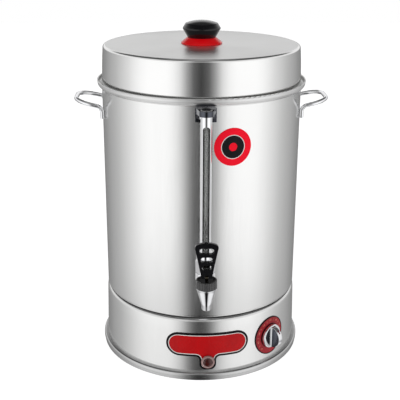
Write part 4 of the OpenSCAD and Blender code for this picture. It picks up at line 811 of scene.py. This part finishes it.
def makeStudio():
    world = bpy.data.worlds.new("studio")
    scene.world = world
    world.use_nodes = True
    tree = world.node_tree
    tree.nodes.clear()
    way = addNode(tree, "ShaderNodeTexCoord").outputs["Generated"]
    turned = addNode(tree, "ShaderNodeVectorRotate", {"Vector": way, "Angle": math.radians(studio["facing"])},
                     rotation_type="Z_AXIS").outputs[0]
    parts = axisParts(tree, turned)
    around = calc(tree, "ARCTAN2", parts["X"], calc(tree, "MULTIPLY", parts["Y"], -1.0))
    around = calc(tree, "DIVIDE", calc(tree, "ABSOLUTE", around), math.pi)

    def reached(starts, toLow=0.0, toHigh=1.0):
        return spread(tree, parts["Z"], *starts, toLow, toHigh, kind="SMOOTHSTEP")

    dimmed = reached(studio["screensDim"], 1.0, studio["lowScreens"])
    screens = addNode(tree, "ShaderNodeVectorMath", {0: makeRamp(tree, around, studio["screens"]),
                                                     "Scale": dimmed}, operation="SCALE").outputs[0]
    band, ground = [makeRamp(tree, around, studio[part]) for part in ("band", "ground")]
    light = blendColours(tree, reached(studio["bandStarts"]), screens, band)
    light = blendColours(tree, reached(studio["groundStarts"]), light, ground)
    roofStarts = [spread(tree, around, *studio["roofTurns"], front, back)
                  for front, back in zip(studio["roofFront"], studio["roofBack"])]
    dim, zenith = studio["roof"] / studio["brightest"], studio["zenith"] / studio["brightest"]
    light = blendColours(tree, reached(roofStarts), light, reached(studio["zenithStarts"], dim, zenith))
    seen = addNode(tree, "ShaderNodeLightPath").outputs["Is Camera Ray"]
    room = addNode(tree, "ShaderNodeBackground", {"Color": light, "Strength": studio["brightest"]})
    paper = addNode(tree, "ShaderNodeBackground", {"Color": (1, 1, 1, 1), "Strength": 1.0})
    both = addNode(tree, "ShaderNodeMixShader", {0: seen, 1: room.outputs[0], 2: paper.outputs[0]})
    wire(tree, addNode(tree, "ShaderNodeOutputWorld").inputs["Surface"], both.outputs[0])


makeStudio()

softBoxes = {"turns": {"left": -47, "right": 43}, "height": 46, "distance": 1.5, "size": (0.34, 0.5),
             "brightness": 2.6, "aim": (0.0, 0.0, 0.45)}


def makeSoftBox(name, turn):
    look = softBoxes
    lampData = bpy.data.lights.new(name, "AREA")
    lampData.shape, lampData.size, lampData.size_y = "RECTANGLE", *look["size"]
    lampData.energy = look["brightness"] * math.pi * look["size"][0] * look["size"][1]
    lamp = bpy.data.objects.new(name, lampData)
    a, up = math.radians(turn), math.radians(look["height"])
    spot = Vector((math.sin(a) * math.cos(up), -math.cos(a) * math.cos(up), math.sin(up))) * look["distance"]
    lamp.location = spot + Vector(look["aim"])
    lamp.rotation_euler = (-spot).to_track_quat("-Z", "Y").to_euler()
    lamp.visible_glossy = False
    scene.collection.objects.link(lamp)


for name, turn in softBoxes["turns"].items():
    makeSoftBox(name, turn)

floorLook = {"size": 8.0, "drop": 0.0003, "colour": (0.80, 0.80, 0.80), "shade": (0.77, 0.77, 0.77),
             "grain": 900.0, "rough": 0.6, "glow": 0.76}


def makeFloor():
    half, z = floorLook["size"] / 2, -floorLook["drop"]
    mesh = bpy.data.meshes.new("floor")
    corners = [(-half, -half, z), (half, -half, z), (half, half, z), (-half, half, z)]
    mesh.from_pydata(corners, [], [(0, 1, 2, 3)])
    floor = bpy.data.objects.new("floor", mesh)
    scene.collection.objects.link(floor)
    material, tree, skin = blankFinish("paperFloor")
    grain = noise(tree, stretched(tree), floorLook["grain"])
    wire(tree, skin.inputs["Base Color"], blendColours(tree, grain, floorLook["colour"], floorLook["shade"]))
    skin.inputs["Roughness"].default_value = floorLook["rough"]
    skin.inputs["Emission Color"].default_value = (1, 1, 1, 1)
    skin.inputs["Emission Strength"].default_value = floorLook["glow"]
    mesh.materials.append(material)
    floor.visible_glossy = False  # the steel mirrors the studio and not the floor


makeFloor()
print("camera, light and floor ready")
